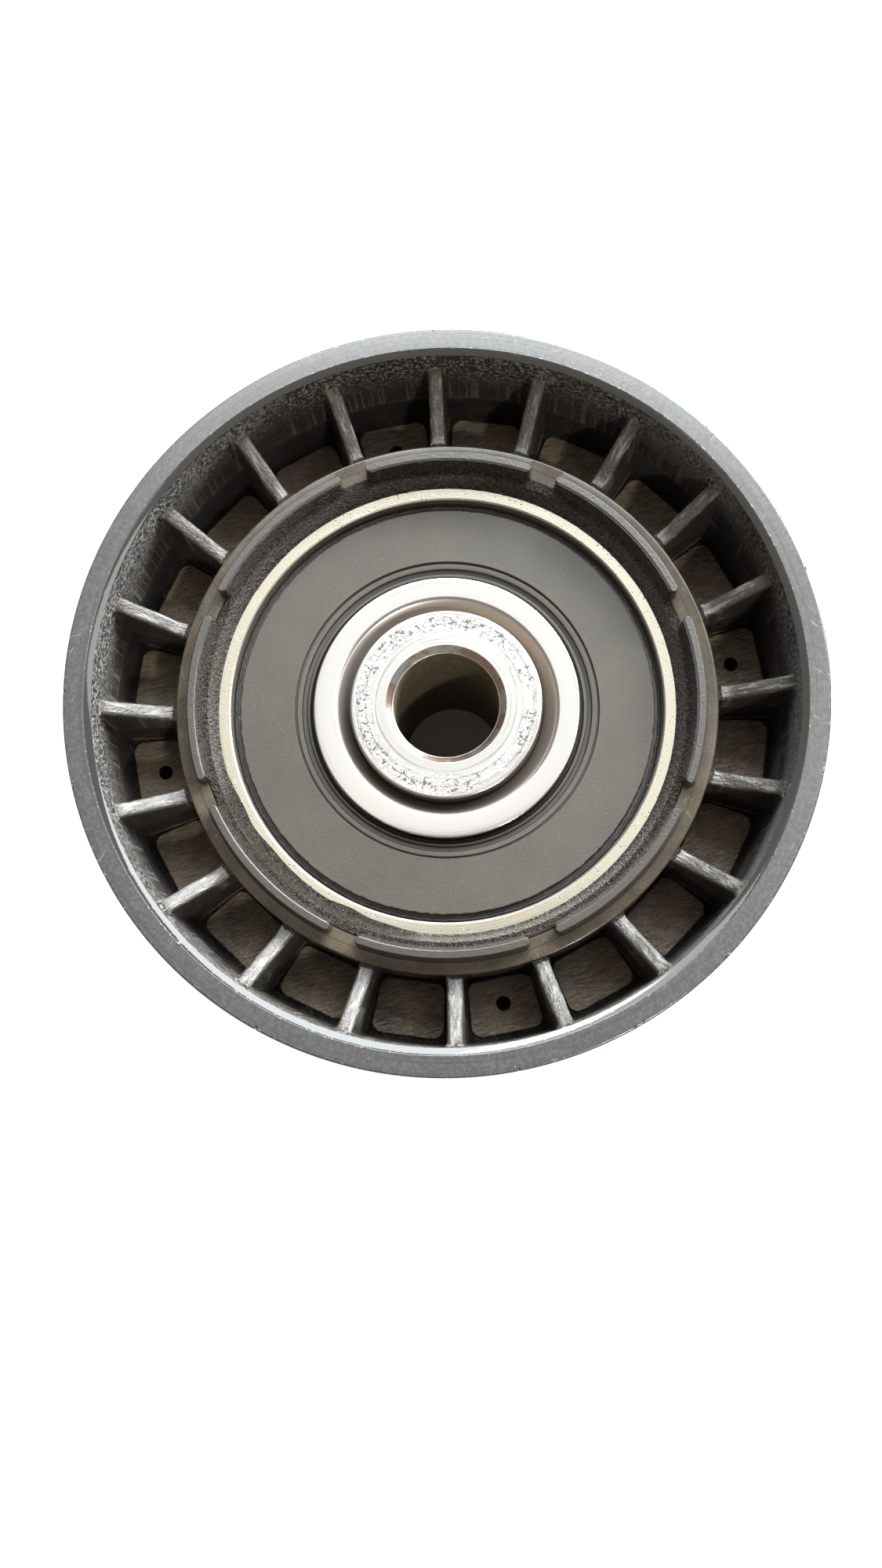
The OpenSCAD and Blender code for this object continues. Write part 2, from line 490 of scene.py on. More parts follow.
class CopyTree(Tree):
    """A Geometry Nodes tree with named inputs, which ends in real copies of one material."""

    def __init__(self, name: str, kinds: dict[str, str]) -> None:
        """Makes the tree and its inputs, with the material as the last.

        Args:
            name: The tree's name.
            kinds: The type of each input by the input's name.
        """
        super().__init__(bpy.data.node_groups.new(name, "GeometryNodeTree"))
        interface = self.tree.interface
        self.identifiers = {}
        for label, kind in {**kinds, "Material": "Material"}.items():
            socket = interface.new_socket(label, in_out="INPUT", socket_type=f"NodeSocket{kind}")
            self.identifiers[label] = socket.identifier
        interface.new_socket("Geometry", in_out="OUTPUT", socket_type="NodeSocketGeometry")
        self.given = self.node("NodeGroupInput").outputs

    def random(self, kind: str, sockets: dict) -> bpy.types.NodeSocket:
        """Adds random values that follow the tree's Seed input.

        Args:
            kind: BOOLEAN or VECTOR.
            sockets: The range or the share, by input name.

        Returns:
            The output of that kind.
        """
        settings = {"data_type": "FLOAT_VECTOR" if kind == "VECTOR" else kind}
        node = self.node("FunctionNodeRandomValue", settings, {**sockets, "Seed": self.given["Seed"]})
        return next(output for output in node.outputs if output.type == kind)

    def close(self, copies: bpy.types.Node) -> None:
        """Ends the tree: makes the copies real and gives them the material.

        Args:
            copies: The node that makes them.
        """
        real = self.node("GeometryNodeRealizeInstances", {}, {"Geometry": copies.outputs[0]})
        sockets = {"Geometry": real.outputs[0], "Material": self.given["Material"]}
        dressed = self.node("GeometryNodeSetMaterial", {}, sockets)
        self.node("NodeGroupOutput", {}, {0: dressed.outputs[0]})

    def run(self, piece: bpy.types.Object, values: dict[str, object]) -> bpy.types.Object:
        """Runs the tree on a piece, and keeps the result as the piece's plain mesh.

        Args:
            piece: The object that the tree works on.
            values: A value for each input but the geometry, by name.

        Returns:
            The same object.
        """
        modifier = piece.modifiers.new(self.tree.name, "NODES")
        modifier.node_group = self.tree
        for label, value in values.items():
            modifier[self.identifiers[label]] = value
        return plain_mesh(piece)


@dataclass(frozen=True)
class RadialArray:
    """Copies a shape round the axis; on the rear side the copies face the rear."""

    count: int
    start: float
    side: Side

    @staticmethod
    def tree() -> CopyTree:
        """Writes the tree that makes the copies.

        Returns:
            The tree.
        """
        floats = dict.fromkeys(("Start", "Step", "Turnover"), "Float")
        kinds = {"Geometry": "Geometry", "Count": "Int", **floats, "Middle": "Vector"}
        tree = CopyTree("radial_array", kinds)
        given = tree.given
        index = Signal(tree, tree.node("GeometryNodeInputIndex").outputs[0])
        angle = index * Signal(tree, given["Step"]) + Signal(tree, given["Start"])
        sockets = {"Geometry": given["Geometry"], "Translation": tree.scaled(given["Middle"], -1.0)}
        centred = tree.node("GeometryNodeTransform", {}, sockets)
        points = tree.node("GeometryNodePoints", {}, {"Count": given["Count"], "Position": given["Middle"]})
        turn = tree.node("ShaderNodeCombineXYZ", {}, {"X": given["Turnover"], "Z": angle})
        sockets = {"Points": points.outputs[0], "Instance": centred.outputs[0], "Rotation": turn.outputs[0]}
        tree.close(tree.node("GeometryNodeInstanceOnPoints", {}, sockets))
        return tree

    def spread(self, unit: bpy.types.Object, material: bpy.types.Material) -> bpy.types.Object:
        """Replaces a unit by its copies.

        Args:
            unit: The shape at angle nought, on the front.
            material: What the copies are made of.

        Returns:
            The same object, holding all the copies as one plain mesh.
        """
        values = {
            "Count": self.count,
            "Start": math.radians(self.start),
            "Step": math.tau / self.count,
            "Turnover": 0.0 if self.side is Side.FRONT else math.pi,
            "Middle": (0.0, 0.0, DATUM.mid_z * MM),
            "Material": material,
        }
        return self.tree().run(unit, values)


@dataclass(frozen=True)
class EdgeNicks:
    """Small dents scattered along a round edge, as shapes to cut away; sizes in millimetres."""

    radius: float
    height: float
    places: int
    share: float
    smallest: float
    largest: float
    spread: float
    seed: int

    @staticmethod
    def tree() -> CopyTree:
        """Writes the tree that scatters the dents.

        Returns:
            The tree.
        """
        kinds = {"Places": "Int", "Radius": "Float", "Height": "Vector", "Share": "Float"}
        kinds |= {"Smallest": "Vector", "Largest": "Vector", "Spread": "Vector", "Seed": "Int"}
        tree = CopyTree("edge_nicks", kinds)
        given = tree.given
        sockets = {"Vertices": given["Places"], "Radius": given["Radius"]}
        circle = tree.node("GeometryNodeMeshCircle", {}, sockets)
        opposite = tree.vector("SUBTRACT", (0.0, 0.0, 0.0), given["Spread"])
        jitter = tree.random("VECTOR", {"Min": opposite, "Max": given["Spread"]})
        chosen = tree.random("BOOLEAN", {"Probability": given["Share"]})
        size = tree.random("VECTOR", {"Min": given["Smallest"], "Max": given["Largest"]})
        sockets = {"Geometry": circle.outputs[0], "Offset": tree.vector("ADD", given["Height"], jitter)}
        shifted = tree.node("GeometryNodeSetPosition", {}, sockets)
        ball = tree.node("GeometryNodeMeshIcoSphere", {}, {"Radius": 1.0, "Subdivisions": 1})
        sockets = {"Points": shifted.outputs[0], "Selection": chosen, "Instance": ball.outputs[0]}
        sockets |= {"Scale": size, "Rotation": jitter}
        tree.close(tree.node("GeometryNodeInstanceOnPoints", {}, sockets))
        return tree

    def scatter(self, material: bpy.types.Material) -> bpy.types.Object:
        """Makes the dents as one object of closed shapes.

        Args:
            material: What the cut faces are made of.

        Returns:
            The object.
        """
        reaches = {"Smallest": self.smallest, "Largest": self.largest, "Spread": self.spread}
        values = {
            "Places": self.places,
            "Radius": self.radius * MM,
            "Height": (0.0, 0.0, (DATUM.mid_z + self.height) * MM),
            "Share": self.share,
            **{label: (reach * MM,) * 3 for label, reach in reaches.items()},
            "Seed": self.seed,
            "Material": material,
        }
        return self.tree().run(mesh_object("edge_nicks", [], []), values)


# ---------------------------------------------------------------- finishes


class Surface(Tree):
    """A material's tree, with the place on the wheel as signals in millimetres."""

    def __init__(self, tree: bpy.types.NodeTree) -> None:
        """Adds the nodes that give the place on the wheel.

        Args:
            tree: The material's empty tree.
        """
        super().__init__(tree)
        place = self.node("ShaderNodeTexCoord").outputs["Object"]
        self.place = self.scaled(self.vector("SUBTRACT", place, (0.0, 0.0, DATUM.mid_z * MM)), 1 / MM)
        axes = self.node("ShaderNodeSeparateXYZ", {}, {0: self.place})
        self.x, self.y, self.z = (Signal(self, axes.outputs[i]) for i in range(3))
        self.radius = self.math("SQRT", self.x * self.x + self.y * self.y)
        self.height = abs(self.z)

    def combine(self, x: Number, y: Number, z: Number) -> bpy.types.NodeSocket:
        """A vector from three numbers."""
        return self.node("ShaderNodeCombineXYZ", {}, {0: x, 1: y, 2: z}).outputs[0]

    def polar(self, around: float, outwards: float) -> bpy.types.NodeSocket:
        """A place for patterns that run round the axis.

        Args:
            around: Radius of the circle that a turn round the axis follows.
            outwards: Millimetres of radius for each step across the pattern.

        Returns:
            The place.
        """
        x, y = (axis / self.radius * around for axis in (self.x, self.y))
        return self.combine(x, y, self.radius / outwards)

    def noise(self, scale: float, detail: float = 2.0, rough: float = 0.5, where: object = None) -> Signal:
        """Soft random levels about a half.

        Args:
            scale: Features for each millimetre.
            detail: How many finer layers are added.
            rough: How strong each finer layer is against the last.
            where: Another place to read than the place on the wheel.

        Returns:
            The level, mostly between nought and one.
        """
        sockets = {"Vector": where or self.place, "Scale": scale, "Detail": detail, "Roughness": rough}
        return Signal(self, self.node("ShaderNodeTexNoise", {}, sockets).outputs[0])

    def cells(self, scale: float, where: bpy.types.NodeSocket) -> Signal:
        """The distance to the nearest of scattered points, of which each cell has one."""
        sockets = {"Vector": where, "Scale": scale, "Randomness": 1.0}
        return Signal(self, self.node("ShaderNodeTexVoronoi", {}, sockets).outputs[0])

    def specks(self, scale: float, size: float) -> Signal:
        """Small round spots, one in each cell, of a size that is a share of the cell."""
        return 1 - self.cells(scale, self.place).rise(size * 0.6, size)

    def craters(self, scale: float) -> Signal:
        """Rounded pits that touch each other, as spark erosion leaves them in a mould."""
        bend = self.node("ShaderNodeTexNoise", {}, {"Vector": self.place, "Scale": 2.0}).outputs[1]
        return self.cells(scale, self.vector("ADD", self.place, bend))

    def streaks(self, across: float, along: float) -> Signal:
        """Marks that run along the radius; across and along are their usual sizes in millimetres."""
        return self.noise(1.0, 3.0, 0.6, self.polar(WEB_MID_R / across, along))

    def rings(self, pitch: float, drift: float = 1.5) -> Signal:
        """Turning lines round the axis, a pitch apart, that fade in and out along the turn."""
        return self.noise(1.0, 1.0, 0.5, self.polar(drift, pitch))

    def scratches(self, turn: float, spacing: float, length: float, share: float) -> Signal:
        """Fine straight scratches at an angle to X, in degrees.

        Args:
            turn: The direction in which they run.
            spacing: The usual distance between two of them, in millimetres.
            length: Their usual length in millimetres.
            share: How high the noise must rise, from a half to one, before it is a scratch.

        Returns:
            One on a scratch, and nought beside it.
        """
        a = math.radians(turn)
        along = self.x * math.cos(a) + self.y * math.sin(a)
        across = self.y * math.cos(a) - self.x * math.sin(a)
        bend = self.noise(0.12, 0.0) * 1.2
        where = self.combine(along / length, across / spacing + bend, self.z / 8.0 + turn)
        return self.noise(1.0, 1.0, 0.4, where).rise(share, share + 0.06)

    def mix(self, a: object, b: object, mask: Number) -> bpy.types.NodeSocket:
        """The first colour where the mask is nought, and the second where it is one."""
        node = self.node("ShaderNodeMix", {"data_type": "RGBA"}, {0: mask, 6: a, 7: b})
        return node.outputs[2]

    def bump(self, height: Signal, depth: float) -> bpy.types.NodeSocket:
        """A bumped normal; depth is in millimetres for a height from nought to one."""
        sockets = {"Strength": 1.0, "Distance": depth * MM, "Height": height}
        return self.node("ShaderNodeBump", {}, sockets).outputs[0]


@dataclass(frozen=True)
class Finish:
    """What a surface is made of; each kind says how it is shaded."""

    name: str

    def shade(self, surface: Surface) -> dict:
        """Gives the values and links of the Principled shader's sockets.

        Args:
            surface: The material's tree.

        Returns:
            The sockets by name.
        """
        raise NotImplementedError

    def material(self) -> bpy.types.Material:
        """Makes the material.

        Returns:
            The material, with one Principled shader.
        """
        material = bpy.data.materials.new(self.name)
        material.use_nodes = True
        material.node_tree.nodes.clear()
        surface = Surface(material.node_tree)
        shader = surface.node("ShaderNodeBsdfPrincipled", {}, self.shade(surface))
        surface.node("ShaderNodeOutputMaterial", {}, {"Surface": shader.outputs[0]})
        return material


@dataclass(frozen=True)
class RimNylon(Finish):
    """Nylon of the rim: grey edge faces with wear, a polished lip and a run-in belt track."""

    face: Colour = (0.030, 0.029, 0.028)
    face_worn: Colour = (0.046, 0.045, 0.044)
    turned: Colour = (0.026, 0.025, 0.023)
    lip: Colour = (0.018, 0.017, 0.016)
    track: Colour = (0.012, 0.0115, 0.011)
    nick: Colour = (0.34, 0.34, 0.33)
    lip_edge_r: float = 35.92
    edge_in: float = 0.22
    edge_out: float = 0.04

    def shade(self, surface: Surface) -> dict:
        """Shades the edge face by its turning lines, scratches and pale nicks.

        Args:
            surface: The material's tree.

        Returns:
            The shader's sockets by name.
        """
        s = surface
        on_track = s.radius.rise(DATUM.rim_r - 0.12, DATUM.rim_r - 0.02)
        on_lip = 1 - s.radius.rise(self.lip_edge_r - 0.05, self.lip_edge_r)
        lines = s.rings(0.09, 2.5)
        wide_lines = s.rings(0.35, 1.2)
        scratch = s.scratches(64, 0.22, 2.5, 0.74).most(s.scratches(-38, 0.25, 3, 0.75))
        scratch = scratch.most(s.scratches(12, 0.22, 3, 0.75))
        edge = s.radius.within(self.lip_edge_r - 0.02, self.lip_edge_r + 0.08, 0.04)
        edge = edge.most(s.radius.within(DATUM.rim_r - self.edge_in, DATUM.rim_r - self.edge_out, 0.06))
        nicks = edge * s.noise(2.2, 3.0, 0.7).rise(0.58, 0.70)
        nicks = nicks.most(s.specks(0.9, 0.09) * s.noise(0.5).rise(0.56, 0.66))
        mottle = s.noise(3.0, 4.0, 0.75)
        face = s.mix(self.face, self.face_worn, mottle.rise(0.40, 0.62))
        face = s.mix(face, self.turned, wide_lines.rise(0.50, 0.72) * 0.6)
        face = s.mix(face, self.nick, (scratch * 0.16).most(nicks * 0.6))
        colour = s.mix(face, self.lip, on_lip)
        colour = s.mix(colour, self.track, on_track)
        rough = 0.19 + lines * 0.07 - on_lip * 0.18 - on_track * 0.08 + mottle * 0.02
        grain = s.noise(6.0, 3.0, 0.65)
        height = lines * 0.22 + grain * 0.22 + scratch * -0.3 + nicks * 0.4
        return {
            "Base Color": colour,
            "Roughness": rough,
            "IOR": 1.53,
            "Normal": s.bump(height * (1 - on_lip * 0.93), 0.018),
        }


@dataclass(frozen=True)
class WebNylon(Finish):
    """Nylon between rim and hub: rough walls, glossy rib crests and scraped floor pads."""

    dark: Colour = (0.006, 0.005, 0.004)
    brown: Colour = (0.022, 0.016, 0.011)
    crest: Colour = (0.034, 0.031, 0.027)
    pad: Colour = (0.100, 0.072, 0.045)
    pad_dark: Colour = (0.040, 0.031, 0.021)
    scrape: Colour = (0.27, 0.205, 0.14)
    gouge: Colour = (0.014, 0.011, 0.009)
    dust: Colour = (0.22, 0.19, 0.15)
    # Pale colour painted as light on the upper band of the rim's inner wall, and as highlight streaks on the
    # rib crests.
    wear_and_painted_sheen: Colour = (0.26, 0.25, 0.23)
    pad_height: float = 1.55
    pocket_from_r: float = 28.2
    pad_to_r: float = 34.15
    wall_from_r: float = 34.72
    wall_r: float = 34.95
    wall_from_h: float = 8.0
    wall_to_h: float = 14.0

    def shade(self, surface: Surface) -> dict:
        """Shades walls by their spark grain with a painted pale band of light on their upper part, crests by
        their gloss with painted highlight streaks, and pads by their scrapes.

        Args:
            surface: The material's tree.

        Returns:
            The shader's sockets by name.
        """
        s = surface
        on_pad = s.height.within(self.pad_height - 0.06, self.pad_height + 0.3, 0.04)
        on_pad = on_pad * s.radius.within(self.pocket_from_r, self.pad_to_r, 0.05)
        on_crest = s.height.rise(5.5, 6.5) * s.radius.within(self.pocket_from_r, self.wall_r, 0.15)
        patches = s.noise(0.30, 3.0, 0.6)
        grain = s.noise(2.6, 5.0, 0.7)
        craters = s.craters(2.4)
        streaks = s.streaks(0.5, 2.2)
        long_scrapes = s.scratches(14, 0.11, 2.4, 0.62).most(s.scratches(8, 0.16, 3.6, 0.64))
        gouges = s.scratches(70, 0.2, 1.6, 0.72).most(s.scratches(11, 0.14, 1.5, 0.66))
        wood = s.scratches(15, 0.09, 1.4, 0.52)
        dust = s.specks(2.2, 0.13) * s.noise(0.6).rise(0.50, 0.64)
        colour = s.mix(self.dark, self.brown, patches.rise(0.35, 0.68))
        colour = s.mix(colour, self.crest, on_crest * 0.8)
        # Painted light: the upper band of the rim's inner wall is mixed towards the pale colour through its
        # grain, where light falls on it.
        painted_lit_band = s.radius.rise(self.wall_from_r, self.wall_r)
        painted_lit_band = painted_lit_band * s.height.rise(self.wall_from_h, self.wall_to_h)
        colour = s.mix(colour, self.wear_and_painted_sheen, painted_lit_band * grain.rise(0.46, 0.60))
        # Painted highlight: pale streaks along the rib crests stand in for glints.
        colour = s.mix(colour, self.wear_and_painted_sheen, on_crest * streaks.rise(0.50, 0.66) * 0.35)
        flecks = s.noise(4.6, 3.0, 0.7).rise(0.56, 0.66)
        colour = s.mix(colour, self.dust, (dust * 0.5).most(flecks * 0.20) * (1 - on_pad))
        pads = s.mix(self.pad_dark, self.pad, s.noise(0.14, 4.0, 0.65).rise(0.36, 0.60))
        pads = s.mix(pads, self.scrape, (long_scrapes * 0.55).most(wood * 0.36))
        pads = s.mix(pads, self.gouge, gouges * 0.6)
        colour = s.mix(colour, pads, on_pad)
        rough = 0.26 + grain * 0.14 + on_pad * 0.12 - on_crest * 0.10
        rough_grain = grain * 0.8 + craters * 0.5 + grain.rise(0.42, 0.58) * 0.35
        ridges = grain * 0.30 + streaks * 0.35
        height = rough_grain * (1 - on_pad * 0.82) * (1 - on_crest) + ridges * on_crest
        height = height - (gouges * 0.10 + long_scrapes * 0.05) * on_pad
        return {
            "Base Color": colour,
            "Roughness": rough,
            "IOR": 1.55,
            "Normal": s.bump(height, 0.42),
        }


@dataclass(frozen=True)
class HubNylon(Finish):
    """Nylon of the hub: a smooth outer band, pale bead crests and a rough dark mouth."""

    band: Colour = (0.046, 0.036, 0.025)
    band_dark: Colour = (0.028, 0.022, 0.015)
    slot: Colour = (0.013, 0.010, 0.008)
    slot_brown: Colour = (0.030, 0.023, 0.017)
    crest: Colour = (0.030, 0.027, 0.023)
    dust: Colour = (0.24, 0.22, 0.19)
    face: float = 9.1
    bead_from: float = 1.80
    bead_to: float = 1.98
    bead_root_r: float = 26.72
    slot_r: float = 25.5

    def shade(self, surface: Surface) -> dict:
        """Shades the band, the beads and the mouth by radius and height.

        Args:
            surface: The material's tree.

        Returns:
            The shader's sockets by name.
        """
        s = surface
        on_crest = s.height.rise(self.face + self.bead_from, self.face + self.bead_to)
        in_slot = (1 - s.radius.rise(self.slot_r, self.slot_r + 0.15)) * (1 - on_crest)
        # Painted shade: a dark line round the outer foot of each bead, where its shadow falls on the band.
        painted_root_shade = s.radius.within(self.bead_root_r - 0.10, self.bead_root_r + 0.06, 0.10)
        painted_root_shade = painted_root_shade * s.height.within(self.face - 0.1, self.face + 0.5, 0.1)
        patches = s.noise(0.35, 3.0, 0.6)
        grain = s.noise(2.8, 5.0, 0.72)
        craters = s.craters(2.8)
        fine = s.noise(7.0, 3.0, 0.65)
        dust = s.specks(2.6, 0.13) * s.noise(0.7).rise(0.48, 0.62)
        scratch = s.scratches(40, 0.25, 2.5, 0.70).most(s.scratches(-60, 0.3, 2.0, 0.71))
        band = s.mix(self.band_dark, self.band, patches.rise(0.32, 0.66))
        band = s.mix(band, self.dust, (fine.rise(0.54, 0.70) * 0.16).most(scratch * 0.15))
        band = s.mix(band, self.slot, grain.rise(0.55, 0.66) * 0.6)
        # Painted shade along the beads' feet.
        band = s.mix(band, self.slot, painted_root_shade * 0.6)
        slot = s.mix(self.slot, self.slot_brown, grain.rise(0.45, 0.6))
        slot = s.mix(slot, self.dust, fine.rise(0.56, 0.66) * 0.35)
        colour = s.mix(band, slot, in_slot)
        colour = s.mix(colour, self.crest, on_crest)
        colour = s.mix(colour, self.dust, dust * (0.15 + in_slot * 0.4))
        rough = 0.14 + fine * 0.06 + on_crest * 0.06 + in_slot * 0.10
        rugged = grain * 1.6 + craters * 1.2
        height = rugged * in_slot + on_crest * grain * 0.16 + fine * 0.004 + s.rings(0.25, 1.0) * 0.004
        return {
            "Base Color": colour,
            "Roughness": rough,
            "IOR": 1.55,
            "Specular IOR Level": 0.28,
            "Normal": s.bump(height, 0.36),
        }


@dataclass(frozen=True)
class GroundSteel(Finish):
    """Ground bearing steel with turning lines, small dark pits and a tint."""

    tint: Colour = (0.62, 0.61, 0.58)
    stain: Colour = (0.50, 0.42, 0.30)
    # Colour of the pits, and painted shade in the recesses.
    pit_and_painted_shade: Colour = (0.06, 0.045, 0.03)
    # Painted reflection: brownish tint for the rounded corner, standing for the bush's brown side reflected
    # in it.
    corner: Colour = (0.33, 0.29, 0.255)
    roughness: float = 0.12
    line_pitch: float = 0.12
    pit_share: float = 0.10
    pit_cells: float = 1.6
    pit_patch: float = 0.50
    stain_share: float = 0.60
    face: float = 7.5
    deep_from: float = 1.22
    deep_to: float = 1.42
    corner_from: float = 0.0
    corner_to: float = 0.0

    def shade(self, surface: Surface) -> dict:
        """Shades the steel by its turning lines, pits and stains, with painted shade in its recesses and a
        painted brown reflection on its rounded corner.

        Args:
            surface: The material's tree.

        Returns:
            The shader's sockets by name.
        """
        s = surface
        lines = s.rings(self.line_pitch, 1.0)
        patch = s.noise(0.28, 2.0, 0.6).rise(self.pit_patch, self.pit_patch + 0.12)
        torn = s.noise(2.6, 4.0, 0.7).rise(0.66, 0.70)
        pits = (s.specks(self.pit_cells, self.pit_share) * patch).most(torn * patch)
        # Painted shade: the steel more than about 1.3 mm below the face is darkened.
        painted_recess_shade = 1 - s.height.rise(self.face - self.deep_to, self.face - self.deep_from)
        on_corner = s.radius.within(self.corner_from, self.corner_to, 0.03)
        stains = s.noise(0.25, 3.0, 0.6).rise(self.stain_share, self.stain_share + 0.15)
        colour = s.mix(self.tint, self.stain, stains * 0.6)
        # Painted reflection: the rounded corner is tinted brownish.
        colour = s.mix(colour, self.corner, on_corner * (0.75 + lines * 0.25))
        colour = s.mix(colour, self.pit_and_painted_shade, pits.most(painted_recess_shade * 0.85))
        rough = self.roughness + lines * 0.06 + pits * 0.4 + painted_recess_shade * 0.15 + on_corner * 0.30
        return {
            "Base Color": colour,
            "Metallic": 1 - pits * 0.9,
            "Roughness": rough,
            "Normal": s.bump(lines + pits * -1.5 + s.noise(6.0, 2.0) * 0.3, 0.004),
        }


@dataclass(frozen=True)
class BushSteel(Finish):
    """Turned steel of the bush: bright ends with a pitted ring, and a brown bolt hole."""

    bright: Colour = (0.445, 0.45, 0.45)
    wear_and_painted_sheen: Colour = (0.27, 0.26, 0.24)
    pit: Colour = (0.075, 0.070, 0.064)
    rust: Colour = (0.085, 0.072, 0.050)
    rust_pale: Colour = (0.28, 0.17, 0.10)
    chamfer: Colour = (0.36, 0.25, 0.20)
    side: Colour = (0.11, 0.09, 0.07)
    hole_r: float = 5.5
    chamfer_r: float = 6.25
    side_from_z: float = -7.45
    side_to_z: float = -7.30

    def shade(self, surface: Surface) -> dict:
        """Shades the end faces by their pits and turning lines, and the hole by its rust.

        Args:
            surface: The material's tree.

        Returns:
            The shader's sockets by name.
        """
        s = surface
        in_hole = 1 - s.radius.rise(self.hole_r + 0.02, self.hole_r + 0.10)
        on_chamfer = s.radius.within(self.hole_r + 0.08, self.chamfer_r - 0.02, 0.03)
        on_side = s.radius.rise(DATUM.bore_r - 0.10, DATUM.bore_r - 0.02)
        on_side = on_side * s.z.rise(self.side_from_z, self.side_to_z)
        lines = s.rings(0.07, 1.2)
        wide_lines = s.rings(0.20, 0.9)
        ring = s.radius.rise(7.2, 8.3) * (1 - s.radius.rise(9.2, 9.7))
        torn = s.noise(1.9, 6.0, 0.78)
        patch = s.noise(0.20, 2.0, 0.5)
        pits = ring * torn.rise(0.535, 0.56) * patch.rise(0.30, 0.46)
        pits = pits.most(ring * s.specks(2.8, 0.20) * s.noise(0.5).rise(0.42, 0.52))
        fine_pits = s.radius.within(8.2, 9.3, 0.3) * s.noise(3.4, 4.0, 0.75).rise(0.56, 0.60)
        pits = pits.most(fine_pits * patch.rise(0.42, 0.50))
        scuffs = s.radius.within(6.6, 9.7, 0.4) * wide_lines.rise(0.56, 0.66)
        rim_lines = s.radius.within(9.0, 9.75, 0.1) * s.rings(0.10, 1.4).rise(0.50, 0.60)
        colour = s.mix(self.bright, self.wear_and_painted_sheen, (scuffs * 0.7).most(rim_lines * 0.5))
        colour = s.mix(colour, self.pit, pits)
        chamfer = s.mix(self.chamfer, self.bright, s.noise(0.35, 3.0).rise(0.46, 0.54))
        chamfer = s.mix(chamfer, self.pit, s.noise(2.4, 3.0, 0.7).rise(0.62, 0.66))
        colour = s.mix(colour, chamfer, on_chamfer)
        colour = s.mix(colour, self.side, on_side)
        rusty = s.mix(self.rust, self.rust_pale, s.noise(1.6, 4.0, 0.7).rise(0.48, 0.78))
        colour = s.mix(colour, rusty, in_hole)
        rough = 0.16 + lines * 0.10 + pits * 0.4 + in_hole * 0.30 + on_chamfer * 0.14 + on_side * 0.25
        height = lines * 0.6 + wide_lines * 0.4 - pits * 3.0 + s.noise(4.0, 4.0) * in_hole * 8.0
        return {
            "Base Color": colour,
            "Metallic": 1 - in_hole * 0.95,
            "Roughness": rough,
            "Normal": s.bump(height, 0.006),
        }


@dataclass(frozen=True)
class SealRubber(Finish):
    """Matt rubber of a bearing seal, with a fine grain and a little dust."""

    rubber: Colour = (0.030, 0.0245, 0.0170)
    rubber_dark: Colour = (0.019, 0.0158, 0.0110)
    dust: Colour = (0.24, 0.22, 0.20)
    # Painted shade for the grooves and the outer edge.
    edge: Colour = (0.012, 0.010, 0.008)
    face_r: float = 21.5
    groove_h: float = 6.22
    ridge_h: float = 6.34

    def shade(self, surface: Surface) -> dict:
        """Shades the face by its grain and dust, with painted shade in its grooves and on its outer edge.

        Args:
            surface: The material's tree.

        Returns:
            The shader's sockets by name.
        """
        s = surface
        grain = s.noise(7.0, 4.0, 0.7)
        patches = s.noise(0.2, 3.0, 0.6)
        outer = s.radius.rise(self.face_r - 0.05, self.face_r + 0.08)
        # Painted shade: the grooves between the ridges and the outer edge are darkened.
        painted_groove_shade = 1 - s.height.rise(self.groove_h, self.ridge_h)
        dust = s.specks(1.7, 0.10) * s.noise(0.5).rise(0.55, 0.68)
        lint = outer * s.noise(3.0, 4.0, 0.75).rise(0.60, 0.70)
        colour = s.mix(self.rubber_dark, self.rubber, patches.rise(0.0, 1.0))
        colour = s.mix(colour, self.dust, (grain.rise(0.52, 0.75) * 0.10).most(dust * 0.35))
        colour = s.mix(colour, self.edge, painted_groove_shade.most(outer * 0.85))
        colour = s.mix(colour, self.dust, lint * 0.5)
        return {
            "Base Color": colour,
            "Roughness": 0.46 + grain * 0.14,
            "IOR": 1.42,
            "Normal": s.bump(grain, 0.028),
        }


@dataclass(frozen=True)
class PlainSteel(Finish):
    """Bright steel for hidden bearing parts, with faint marks."""

    tint: Colour = (0.60, 0.60, 0.60)
    oil: Colour = (0.35, 0.30, 0.22)
    roughness: float = 0.15
    mark_scale: float = 1.5

    def shade(self, surface: Surface) -> dict:
        """Shades the steel by its marks and a film of grease.

        Args:
            surface: The material's tree.

        Returns:
            The shader's sockets by name.
        """
        s = surface
        marks = s.noise(self.mark_scale, 4.0, 0.6)
        film = s.noise(0.4, 2.0).rise(0.48, 0.66)
        return {
            "Base Color": s.mix(self.tint, self.oil, film * 0.35),
            "Metallic": 1.0,
            "Roughness": self.roughness + marks * 0.12 + film * 0.1,
            "Normal": s.bump(marks, 0.006),
        }


# ---------------------------------------------------------------- the pulley's pieces


def placed(piece: bpy.types.Object, body: str, nodes: Sequence[str]) -> None:
    """Rides a piece on its body and the nodes that it stands for, and logs it.

    Args:
        piece: The finished piece.
        body: The body that it moves with.
        nodes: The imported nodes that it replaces.
    """
    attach(piece, body)
    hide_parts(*nodes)
    LOG.info("%s: %d faces on %s", piece.name, len(piece.data.polygons), body)


